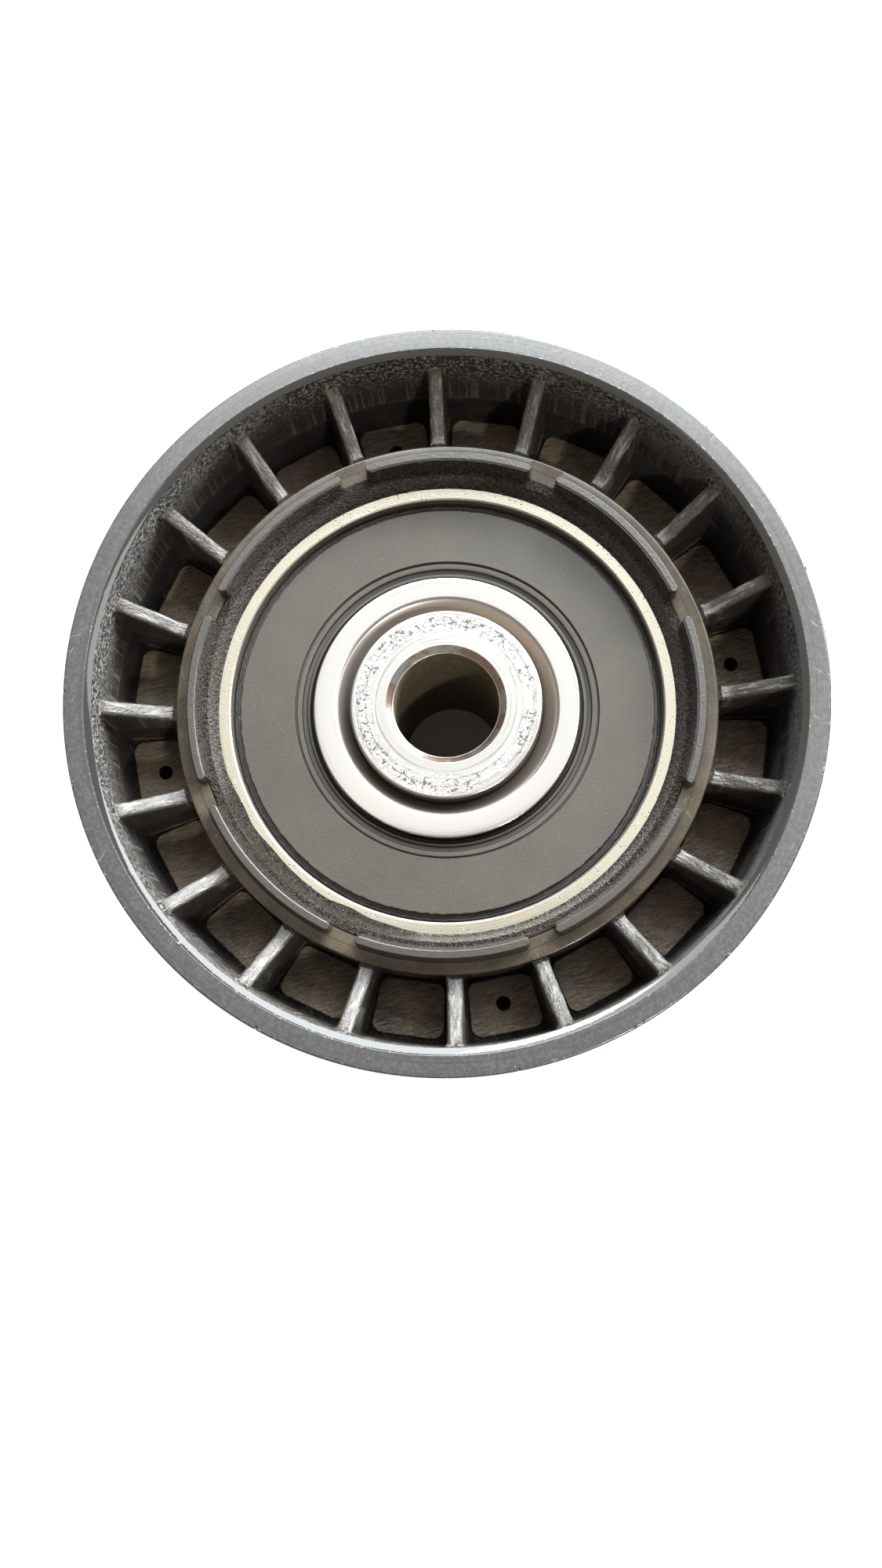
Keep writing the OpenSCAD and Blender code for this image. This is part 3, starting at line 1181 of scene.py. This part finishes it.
@dataclass
class BeltRim:
    """The belt track and the rim's two edges."""

    lip_outer_r: float = 35.92
    lip_inner_r: float = 35.15
    lip_drop: float = 0.21
    back_drop: float = 0.19
    edge_rounding: float = 0.24
    inner_r: float = 35.3
    segments: int = 600
    outer_seed: int = 11
    inner_seed: int = 31
    finish: Finish = RimNylon("rim_nylon")

    def section(self) -> list[Point]:
        """The rim's closed section.

        Returns:
            Its points as (radius, height).
        """
        top = DATUM.half_rim
        front = [
            Corner(DATUM.rim_r, top, self.edge_rounding),
            Corner(self.lip_outer_r, top, 0.05),
            Corner(self.lip_inner_r, top - self.lip_drop, 0.03),
            Corner(self.inner_r, top - self.lip_drop - self.back_drop),
        ]
        return rounded(mirrored(front), 3)

    def build(self) -> None:
        """Turns the rim, nicks its edges and dresses it."""
        material = self.finish.material()
        rim = turned("belt_rim", self.section(), self.segments)
        rim.data.materials.append(material)
        cuts = []
        for side in Side:
            top = side.value * DATUM.half_rim
            outer = EdgeNicks(
                DATUM.rim_r, top, places=240, share=0.22, smallest=0.06, largest=0.30, spread=0.16,
                seed=self.outer_seed + side.value,
            )
            inner = EdgeNicks(
                self.lip_outer_r, top, places=700, share=0.35, smallest=0.03, largest=0.085, spread=0.03,
                seed=self.inner_seed + side.value,
            )
            cuts += [(nicks.scatter(material), Join.CUT) for nicks in (outer, inner)]
        worked(rim, cuts)
        smoothed(rim)
        placed(rim, "pulley", ["pulley_body"])


@dataclass(frozen=True)
class Fillet:
    """How a rib grows towards one of its ends, in millimetres.

    The growth starts at a radius, and reaches most at a distance of length from it. A negative
    length grows towards the axis.
    """

    start_r: float
    length: float
    most: float

    def at(self, r: float) -> float:
        """The growth at a radius."""
        return self.most * max(0.0, (r - self.start_r) / self.length) ** 2


@dataclass
class RibbedWeb:
    """One face of the web: the rim's inner wall, the floor, the ribs, the pads and the gate marks."""

    side: Side
    floor_h: float = 1.3
    wall_top_r: float = 35.2
    wall_root_r: float = 34.6
    wall_back_r: float = 35.65
    wall_top_h: float = 15.26
    wall_fillet: float = 0.9
    hub_r: float = 28.02
    hub_draft: float = 0.06
    hub_fillet: float = 0.5
    inner_r: float = 27.3
    inner_h: float = 2.6
    split_h: float = -0.6
    split_lap: float = 0.001
    rib_count: int = 20
    crest_half: float = 0.36
    shoulder_half: float = 0.78
    root_half: float = 1.0
    crest_round: float = 0.42
    crest_at_wall: float = 12.75
    crest_slope: float = 0.65
    crest_wall_r: float = 35.0
    crest_fillets: tuple[Fillet, ...] = (Fillet(29.6, -1.7, 0.75), Fillet(34.2, 0.8, 0.35))
    side_fillets: tuple[Fillet, ...] = (Fillet(29.1, -1.2, 0.16), Fillet(34.5, 0.6, 0.30))
    foot: tuple[Point, ...] = ((0.32, -0.5), (0.32, 0.01), (0.10, 0.14), (0.0, 0.45))
    hub_sink: float = 0.6
    wall_sink: float = 0.25
    stations: int = 26
    crest_steps: int = 4
    pad_inner_r: float = 28.35
    pad_outer_r: float = 34.0
    pad_inner_half: float = 3.35
    pad_outer_half: float = 3.70
    pad_corner: float = 1.0
    pad_h: float = 0.25
    pad_levels: tuple[Point, ...] = (
        (-0.04, -0.55),
        (-0.04, -0.02),
        (0.03, 0.0),
        (0.07, 0.03),
        (0.13, 0.025),
        (0.24, 0.0),
    )
    corner_steps: int = 5
    gate_r: float = 30.9
    gate_half: float = 0.775
    gate_depth: float = 2.0
    gate_count: int = 4
    gate_steps: int = 28
    finish: Finish = WebNylon("web_nylon")

    def section(self) -> list[Point]:
        """The closed section of wall and floor.

        Returns:
            Its points as (radius, height).
        """
        front = self.side is Side.FRONT
        split = self.split_h if front else -self.split_h - self.split_lap
        corners = [
            Corner(self.inner_r, split),
            Corner(self.wall_back_r, split),
            Corner(self.wall_back_r, self.wall_top_h),
            Corner(self.wall_top_r, self.wall_top_h),
            Corner(self.wall_root_r, self.floor_h, self.wall_fillet),
            Corner(self.hub_r, self.floor_h, self.hub_fillet),
            Corner(self.hub_r - self.hub_draft, self.inner_h),
            Corner(self.inner_r, self.inner_h),
        ]
        return [(r, h * self.side.value) for r, h in rounded(corners, 6)]

    def crest(self, r: float) -> float:
        """Height of a rib's crest at a radius, with the fillets at both of its ends."""
        straight = self.crest_at_wall - (self.crest_wall_r - r) * self.crest_slope
        return sum((fillet.at(r) for fillet in self.crest_fillets), straight)

    def flare(self, r: float) -> float:
        """How much wider a rib is where it runs into the hub and the rim."""
        return sum(fillet.at(r) for fillet in self.side_fillets)

    def rib(self) -> bpy.types.Object:
        """One rib at angle nought, from inside the hub to inside the rim.

        Returns:
            The rib, as a closed shape.
        """
        first, last = self.hub_r - self.hub_sink, self.wall_top_r + self.wall_sink
        reach = self.shoulder_half - self.crest_half
        loops = []
        for index in range(self.stations):
            r = first + (last - first) * index / (self.stations - 1)
            top, wide = self.crest(r), self.flare(r)
            half = [(self.root_half + out + wide, self.floor_h + rise) for out, rise in self.foot]
            for step in range(self.crest_steps + 1):
                a = math.pi / 2 * step / self.crest_steps
                across = self.crest_half + reach * math.cos(a) + wide
                half.append((across, top - self.crest_round * (1 - math.sin(a))))
            loop = [*half, *((-across, h) for across, h in reversed(half))]
            loops.append([(r, across, h) for across, h in loop])
        return lofted("rib", loops)

    def pad_outline(self, inset: float, height: float) -> Loop:
        """The outline of a pad at angle nought.

        Args:
            inset: How far it is drawn in from the pad's widest outline.
            height: Its height from the middle plane.

        Returns:
            The outline's points.
        """
        corner = max(0.2, self.pad_corner - inset)
        inner = (self.pad_inner_r + inset, corner, self.pad_inner_half - inset)
        outer = (self.pad_outer_r - inset, -corner, self.pad_outer_half - inset)
        loop = []
        for end, hand, start in ((inner, -1, 180), (outer, -1, 270), (outer, 1, 0), (inner, 1, 90)):
            radius, inwards, half = end
            centre = (radius + inwards, hand * (half - corner))
            for step in range(self.corner_steps + 1):
                angle = math.radians(start + 90 * step / self.corner_steps)
                x, y = circle_point(centre, corner, angle)
                sag = (radius * radius - y * y) ** 0.5 - radius
                loop.append((x + sag, y, height))
        return loop

    def pad(self) -> bpy.types.Object:
        """One floor pad at angle nought, with a fine burr round its top."""
        top = self.floor_h + self.pad_h
        return lofted("pad", [self.pad_outline(inset, top + rise) for inset, rise in self.pad_levels])

    def gate_mark(self) -> bpy.types.Object:
        """The blind hole that a moulding gate leaves, at angle nought.

        Returns:
            The shape to cut away.
        """
        top = self.floor_h + self.pad_h
        angles = [math.tau * step / self.gate_steps for step in range(self.gate_steps)]
        loops = []
        for radius, level in ((self.gate_half * 0.92, top - self.gate_depth), (self.gate_half, top + 0.5)):
            loops.append([(*circle_point((self.gate_r, 0.0), radius, a), level) for a in angles])
        return lofted("gate_mark", loops)

    def build(self) -> None:
        """Turns the web, joins ribs and pads to it, cuts the gate marks and dresses it."""
        material = self.finish.material()
        web = turned(f"web_{self.side.name.lower()}", self.section(), 360)
        web.data.materials.append(material)
        half_step = 180 / self.rib_count
        ribs = RadialArray(self.rib_count, 0.0, self.side).spread(self.rib(), material)
        pads = RadialArray(self.rib_count, half_step, self.side).spread(self.pad(), material)
        tools = [(ribs, Join.ADD), (pads, Join.ADD)]
        if self.side is Side.FRONT:
            marks = RadialArray(self.gate_count, half_step, self.side).spread(self.gate_mark(), material)
            tools.append((marks, Join.CUT))
        worked(web, tools)
        smoothed(web)
        placed(web, "pulley", ["pulley_body"])


@dataclass
class Hub:
    """One face of the hub, with its raised beads and the flash round its mouth."""

    side: Side
    outer_r: float = 27.9
    root_r: float = 28.0
    face_h: float = 9.1
    mouth_r: float = 23.73
    mouth_top_r: float = 24.65
    bead_count: int = 8
    bead_centre: float = -2.4
    bead_half_span: float = 19.6
    bead_h: float = 2.05
    flash_from: float = 195.0
    flash_to: float = 262.0
    flash_reach: float = 0.75
    arc_steps: int = 30
    cap_steps: int = 8
    finish: Finish = HubNylon("hub_nylon")

    def section(self) -> list[Point]:
        """The hub's closed section, with a thin step at the mouth that the flash grows from.

        Returns:
            Its points as (radius, height).
        """
        bearing = DATUM.half_bearing
        corners = [
            Corner(DATUM.bearing_r, 0.0),
            Corner(self.root_r, 0.0),
            Corner(self.root_r, 1.3),
            Corner(self.outer_r, self.face_h, 0.25),
            Corner(self.mouth_top_r, self.face_h, 0.12),
            Corner(self.mouth_r + 0.16, bearing + 0.2, 0.1),
            Corner(self.mouth_r, bearing + 0.07),
            Corner(self.mouth_r, bearing),
            Corner(DATUM.bearing_r, bearing),
        ]
        return [(r, h * self.side.value) for r, h in rounded(corners, 5)]

    def flash(self, r: float, h: float, angle: float) -> float:
        """Radius of a point of the mouth, drawn in where the flash lies over the bearing.

        Args:
            r: The section's radius there.
            h: The section's height there, which makes no difference.
            angle: The angle round the axis, in radians.

        Returns:
            The radius.
        """
        if r > self.mouth_r + 0.01:
            return r
        place = Vector((math.cos(angle) * 9, math.sin(angle) * 9, self.side.value * 5.0))
        trimmed = r - (0.03 * noise.noise(place * 4) + 0.02)
        span = (math.degrees(angle) % 360 - self.flash_from) / (self.flash_to - self.flash_from)
        if self.side is Side.REAR or not 0 < span < 1:
            return trimmed
        swell = math.sin(math.pi * span) ** 0.7 * (0.62 + 0.55 * noise.noise(place * 0.9))
        return trimmed - self.flash_reach * max(0.0, swell)

    def bead_outline(self, centre_r: float, half_width: float, half_span: float, height: float) -> Loop:
        """A long arc with round ends, at angle nought.

        Args:
            centre_r: Radius of its middle line.
            half_width: Half of its width.
            half_span: Half of the angle between its two ends, in degrees.
            height: Its height from the middle plane.

        Returns:
            The outline's points.
        """
        loop = []
        reach = math.radians(half_span) - half_width / centre_r
        for hand, turn in ((1, 0.0), (-1, math.pi)):
            for step in range(self.arc_steps + 1):
                a = hand * (2 * reach * step / self.arc_steps - reach)
                loop.append((*circle_point((0.0, 0.0), centre_r + hand * half_width, a), height))
            centre = circle_point((0.0, 0.0), centre_r, hand * reach)
            for step in range(1, self.cap_steps):
                a = hand * reach + turn + math.pi * step / self.cap_steps
                loop.append((*circle_point(centre, half_width, a), height))
        return loop

    def bead(self) -> bpy.types.Object:
        """One raised bead at angle nought: drafted sides, a rounded crest and round ends.

        Returns:
            The bead, as a closed shape.
        """
        base, top = self.face_h, self.face_h + self.bead_h
        levels = [
            (25.90, 0.82, 0.0, base - 0.5),
            (25.90, 0.82, 0.0, base),
            (25.99, 0.50, 0.20, top - 0.26),
            (26.00, 0.44, 0.24, top - 0.12),
            (26.01, 0.36, 0.30, top - 0.03),
            (26.02, 0.27, 0.38, top),
        ]
        loops = [self.bead_outline(r, w, self.bead_half_span - draw, h) for r, w, draw, h in levels]
        return lofted("bead", loops)

    def build(self) -> None:
        """Turns the hub, joins the beads to it and dresses it."""
        material = self.finish.material()
        hub = turned(f"hub_{self.side.name.lower()}", self.section(), 540, self.flash)
        hub.data.materials.append(material)
        beads = RadialArray(self.bead_count, self.bead_centre, self.side).spread(self.bead(), material)
        worked(hub, [(beads, Join.ADD)])
        smoothed(hub, 40.0)
        placed(hub, "pulley", ["pulley_body"])


@dataclass
class Bearing:
    """The sealed ball bearing: two rings, two seals, and the balls and cage between them."""

    pitch_r: float = 18.0
    ball_r: float = 4.7625
    race_ratio: float = 1.04
    clearance: float = 0.05
    outer_face_r: float = 22.5
    outer_shoulder_r: float = 21.6
    inner_land_r: float = 13.85
    inner_shoulder_r: float = 14.4
    corner_r: float = 1.5
    groove_r: float = 23.05
    ledge_h: float = 5.6
    land_h: float = 5.2
    trim_from_r: float = 21.4
    trim_to_r: float = 22.4

    def _race(self, shoulder_r: float, outer: bool) -> list[Corner]:
        """The front half of a raceway.

        Args:
            shoulder_r: Radius of the ring's shoulder beside it.
            outer: Whether it is the outer ring's.

        Returns:
            Its corners, from the shoulder to the middle plane.
        """
        radius = self.ball_r * self.race_ratio
        hand = 1 if outer else -1
        deepest = self.pitch_r + hand * (self.ball_r + self.clearance)
        centre = deepest - hand * radius
        rise = math.degrees(math.acos(abs(shoulder_r - centre) / radius))
        if outer:
            return arc((centre, 0.0), radius, rise, 4, 8)
        return arc((centre, 0.0), radius, 180 - rise, 176, 8)

    def outer_ring(self) -> None:
        """The outer ring, with its bevelled inner edge and the groove that holds the seal."""
        top = DATUM.half_bearing
        half = [
            Corner(DATUM.bearing_r, top, 0.8),
            Corner(self.outer_face_r + 0.16, top, 0.04),
            Corner(self.outer_face_r, top - 0.14, 0.05),
            Corner(self.outer_face_r - 0.1, 6.45),
            Corner(self.groove_r, 6.3),
            Corner(self.groove_r, self.ledge_h),
            Corner(self.outer_shoulder_r, self.ledge_h, 0.1),
            *self._race(self.outer_shoulder_r, True),
        ]
        ring = turned("outer_ring", rounded(mirrored(half)), 360)
        finish = GroundSteel(
            "outer_ring_steel",
            tint=(0.455, 0.447, 0.385),
            pit_share=0.24,
            pit_cells=2.4,
            pit_patch=0.38,
            corner_from=self.outer_face_r - 0.2,
            corner_to=self.outer_face_r + 0.16,
        )
        self._dress(ring, finish, "pulley", "bearing_outer_ring")

    def inner_ring(self) -> None:
        """The inner ring, with the rounded corner that makes the groove round the bush."""
        top = DATUM.half_bearing
        half = [
            Corner(self.inner_shoulder_r, self.land_h, 0.1),
            Corner(self.inner_land_r, self.land_h),
            Corner(self.inner_land_r, top, 0.14),
            Corner(DATUM.bore_r + self.corner_r, top, 1.1),
            Corner(DATUM.bore_r, top - self.corner_r, 0.22),
        ]
        section = mirrored([*reversed(self._race(self.inner_shoulder_r, False)), *half])
        ring = turned("inner_ring", rounded(section, 5), 360)
        finish = GroundSteel(
            "inner_ring_steel",
            tint=(0.49, 0.497, 0.505),
            pit_share=0.07,
            pit_cells=1.2,
            pit_patch=0.62,
            stain_share=0.75,
            corner_from=DATUM.bore_r - 0.1,
            corner_to=DATUM.bore_r + self.corner_r,
        )
        self._dress(ring, finish, "spindle", "bearing_inner_ring")

    def ragged(self, r: float, h: float, angle: float) -> float:
        """Radius of a point of a seal, uneven where the rubber was trimmed at its outer edge.

        Args:
            r: The section's radius there.
            h: The section's height there.
            angle: The angle round the axis, in radians.

        Returns:
            The radius.
        """
        if not self.trim_from_r < r < self.trim_to_r:
            return r
        place = Vector((math.cos(angle), math.sin(angle), h * 0.05)) * 30
        return r + 0.10 * noise.noise(place) + 0.06 * noise.noise(place * 4)

    def seal(self, side: Side) -> None:
        """A rubber seal, with its flat face and the ridges of its lip.

        Args:
            side: The face of the wheel that it is on.
        """
        corners = [
            Corner(DATUM.seal_r, 5.8),
            Corner(DATUM.seal_r, 6.0),
            Corner(22.35, 6.0, 0.1),
            Corner(22.15, 6.14, 0.08),
            Corner(21.95, 5.98, 0.08),
            Corner(21.66, 5.98),
            Corner(21.58, 6.63, 0.10),
            Corner(15.92, 6.63, 0.05),
            Corner(15.83, 6.30),
            Corner(15.70, 6.30),
            Corner(15.65, 6.50, 0.06),
            Corner(15.16, 6.46, 0.06),
            Corner(15.06, 6.16),
            Corner(14.64, 6.08),
            Corner(14.57, 6.36, 0.07),
            Corner(14.32, 6.34, 0.07),
            Corner(14.12, 5.98, 0.05),
            Corner(13.93, 5.90),
            Corner(13.93, 5.72),
            Corner(14.60, 5.8),
            Corner(15.10, 5.8),
            Corner(15.10, 6.05),
            Corner(21.3, 6.05),
            Corner(21.3, 5.8),
        ]
        name = side.name.lower()
        section = [(r, h * side.value) for r, h in rounded(corners)]
        seal = turned(f"{name}_seal_cover", section, 540, self.ragged)
        self._dress(seal, SealRubber("seal_rubber"), "pulley", f"{name}_seal")

    def _dress(self, piece: bpy.types.Object, finish: Finish, body: str, node: str) -> None:
        """Gives a turned piece its finish, smooths it and places it.

        Args:
            piece: The piece.
            finish: What it is made of.
            body: The body that it moves with.
            node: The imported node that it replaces.
        """
        piece.data.materials.append(finish.material())
        smoothed(piece, 30.0)
        placed(piece, body, [node])

    def hidden_parts(self) -> None:
        """Gives the balls, cage, rivets and seal discs, which stay as they are, their finishes."""
        finishes = {
            "ball": PlainSteel("ball_steel", roughness=0.05),
            "cage": PlainSteel("cage_steel", tint=(0.50, 0.50, 0.49), roughness=0.28, mark_scale=3.0),
            "rivets": PlainSteel("rivet_steel", tint=(0.55, 0.55, 0.54), roughness=0.22),
            "insert": PlainSteel("insert_steel", tint=(0.42, 0.42, 0.41), roughness=0.30, mark_scale=3.0),
        }
        materials = {kind: finish.material() for kind, finish in finishes.items()}
        for name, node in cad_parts.items():
            for kind in ("rivets", "insert", "ball", "cage"):
                if kind in name:
                    for slot in node.material_slots:
                        slot.material = materials[kind]
                    LOG.info("%s: %s", name, materials[kind].name)
                    break

    def build(self) -> None:
        """Makes the rings and seals, and dresses what is hidden between them."""
        self.outer_ring()
        self.inner_ring()
        for side in Side:
            self.seal(side)
        self.hidden_parts()


@dataclass
class SpacerBush:
    """The steel bush that the bolt goes through."""

    hole_r: float = 5.5
    chamfer: float = 0.75
    burr: float = 0.05
    collar_round: float = 0.4
    shank_round: float = 0.28
    finish: Finish = BushSteel("bush_steel")

    def section(self) -> list[Point]:
        """The bush's closed section.

        Returns:
            Its points as (radius, height from the middle plane).
        """
        mouth_r = self.hole_r + self.chamfer
        corners = [
            Corner(mouth_r, 0.0, self.burr),
            Corner(DATUM.collar_r, 0.0, self.collar_round),
            Corner(DATUM.collar_r, DATUM.collar_len, self.collar_round),
            Corner(DATUM.bore_r, DATUM.collar_len),
            Corner(DATUM.bore_r, DATUM.bush_len, self.shank_round),
            Corner(mouth_r, DATUM.bush_len, self.burr),
            Corner(self.hole_r, DATUM.bush_len - self.chamfer, self.burr),
            Corner(self.hole_r, self.chamfer, self.burr),
        ]
        return [(r, h - DATUM.mid_z) for r, h in rounded(corners, 5)]

    def build(self) -> None:
        """Turns the bush and dresses it."""
        bush = turned("spacer_bush_turned", self.section(), 300)
        bush.data.materials.append(self.finish.material())
        smoothed(bush, 30.0)
        placed(bush, "spindle", ["spacer_bush"])


# ---------------------------------------------------------------- the studio


@dataclass(frozen=True)
class Softbox:
    """A soft light above the wheel, given by how far it leans towards +X and +Y."""

    name: str
    lean_x: float
    lean_y: float
    distance: float
    width: float
    length: float
    radiance: float
    colour: Colour

    def build(self, target: Vector) -> None:
        """Hangs the light, facing the target.

        Args:
            target: The point that it faces.
        """
        slopes = (math.tan(math.radians(angle)) for angle in (self.lean_x, self.lean_y))
        lean = Vector((*slopes, 1.0)).normalized()
        light = bpy.data.lights.new(self.name, "AREA")
        light.shape = "RECTANGLE"
        light.size, light.size_y = self.width, self.length
        light.energy = self.radiance * math.pi * self.width * self.length
        light.color = self.colour
        lamp = linked(self.name, light)
        lamp.location = target + lean * self.distance
        lamp.rotation_euler = lean.to_track_quat("Z", "Y").to_euler()


@dataclass(frozen=True)
class Paper(Finish):
    """Plain card of the studio, which may glow."""

    tone: Colour
    glow: Colour
    glow_strength: float
    roughness: float

    def shade(self, surface: Surface) -> dict:
        """Shades the card evenly.

        Args:
            surface: The material's tree.

        Returns:
            The shader's sockets by name.
        """
        return {
            "Base Color": self.tone,
            "Roughness": self.roughness,
            "Emission Color": self.glow,
            "Emission Strength": self.glow_strength,
        }


@dataclass
class Studio:
    """Floor, soft lights and camera; the camera's places are in millimetres."""

    eye: Place = (4.220, -37.834, 185.451)
    aim: Place = (-1.029, -6.842, 18.5)
    roll: float = -2.04
    lens: float = 36.23
    sensor: float = 36.0
    sight: Point = (0.005, 20.0)
    floor_half: float = 2.0
    backing_r: float = 9.0
    backing_lift: float = 0.02
    backing_steps: int = 48
    white: Paper = Paper("floor_paper", (0.12, 0.12, 0.12), (1.0, 1.0, 1.0), 0.95, 0.9)
    # Painted shade under the bolt hole, with a faint warm painted glow.
    dark: Paper = Paper("painted_shade_card", (0.035, 0.031, 0.027), (0.9, 0.72, 0.58), 0.02, 0.8)
    ambient: Colour = (1.0, 0.92, 0.82)
    ambient_level: float = 0.44
    lights: tuple[Softbox, ...] = (
        Softbox("window", 20.0, 43.8, 0.95, 0.92, 0.62, 17.0, (0.90, 0.96, 1.0)),
        Softbox("window_low", 52.0, 57.0, 1.00, 0.95, 0.38, 44.0, (0.95, 0.98, 1.0)),
        Softbox("window_side", -14.0, 38.0, 0.9, 0.24, 0.40, 7.0, (0.95, 0.98, 1.0)),
        Softbox("ceiling", -1.0, 12.5, 1.0, 0.46, 0.36, 1.5, (1.0, 0.97, 0.91)),
        Softbox("side_glow", 24.0, 9.0, 0.9, 0.20, 0.26, 6.0, (0.94, 0.97, 1.0)),
        Softbox("hole_light", 24.0, -34.0, 0.8, 0.05, 0.05, 420.0, (1.0, 0.96, 0.86)),
    )

    def camera(self) -> None:
        """Sets the camera where the object is looked at from."""
        eye, aim = Vector(self.eye) * MM, Vector(self.aim) * MM
        back = (eye - aim).normalized()
        level = Vector((math.cos(math.radians(self.roll)), math.sin(math.radians(self.roll)), 0.0))
        right = (level - back * level.dot(back)).normalized()
        turn = Matrix((right, back.cross(right), back)).transposed().to_4x4()
        data = bpy.data.cameras.new("camera")
        data.lens, data.sensor_width = self.lens, self.sensor
        data.clip_start, data.clip_end = self.sight
        camera = linked("camera", data)
        camera.matrix_world = Matrix.Translation(eye) @ turn
        bpy.context.scene.camera = camera

    @staticmethod
    def card(name: str, outline: Sequence[Place], paper: Paper) -> None:
        """Lays a flat card in the studio, which isn't part of the object.

        Args:
            name: Its name.
            outline: Its corners in metres.
            paper: What it is made of.
        """
        mesh = bpy.data.meshes.new(name)
        mesh.from_pydata(outline, [], [tuple(range(len(outline)))])
        mesh.materials.append(paper.material())
        linked(name, mesh)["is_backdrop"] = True

    def floor(self, level: float) -> None:
        """Lays a plain pale floor that glows enough to stay white under the object."""
        signs = ((-1, -1), (1, -1), (1, 1), (-1, 1))
        self.card("floor", [(x * self.floor_half, y * self.floor_half, level) for x, y in signs], self.white)

    def hole_shade_disc(self, level: float) -> None:
        """Lays a small dark disc under the bush as painted shade, with a faint painted glow, so that the bolt
        hole looks into the dark.

        Args:
            level: The floor's height in metres.
        """
        turns = [math.tau * step / self.backing_steps for step in range(self.backing_steps)]
        edge = (circle_point((0.0, 0.0), self.backing_r * MM, turn) for turn in turns)
        self.card("hole_shade_disc", [(x, y, level + self.backing_lift * MM) for x, y in edge], self.dark)

    def build(self, low: Vector, high: Vector) -> None:
        """Sets up the studio round the object's box.

        Args:
            low: The box's lowest corner.
            high: The box's highest corner.
        """
        scene = bpy.context.scene
        scene.view_settings.view_transform = "Standard"
        world = bpy.data.worlds.new("studio")
        world.use_nodes = True
        background = world.node_tree.nodes["Background"]
        background.inputs["Color"].default_value = (*self.ambient, 1.0)
        background.inputs["Strength"].default_value = self.ambient_level
        scene.world = world
        self.floor(low.z)
        self.hole_shade_disc(low.z)
        for light in self.lights:
            light.build((low + high) / 2)
        self.camera()


def main() -> None:
    """Builds the pulley and its studio."""
    logging.basicConfig(level=logging.INFO, format="%(message)s")
    cad_box = [list(corner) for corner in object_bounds()]
    Studio().build(*(Vector(corner) for corner in cad_box))
    BeltRim().build()
    for side in Side:
        RibbedWeb(side).build()
        Hub(side).build()
    Bearing().build()
    SpacerBush().build()


if __name__ == "__main__":
    main()
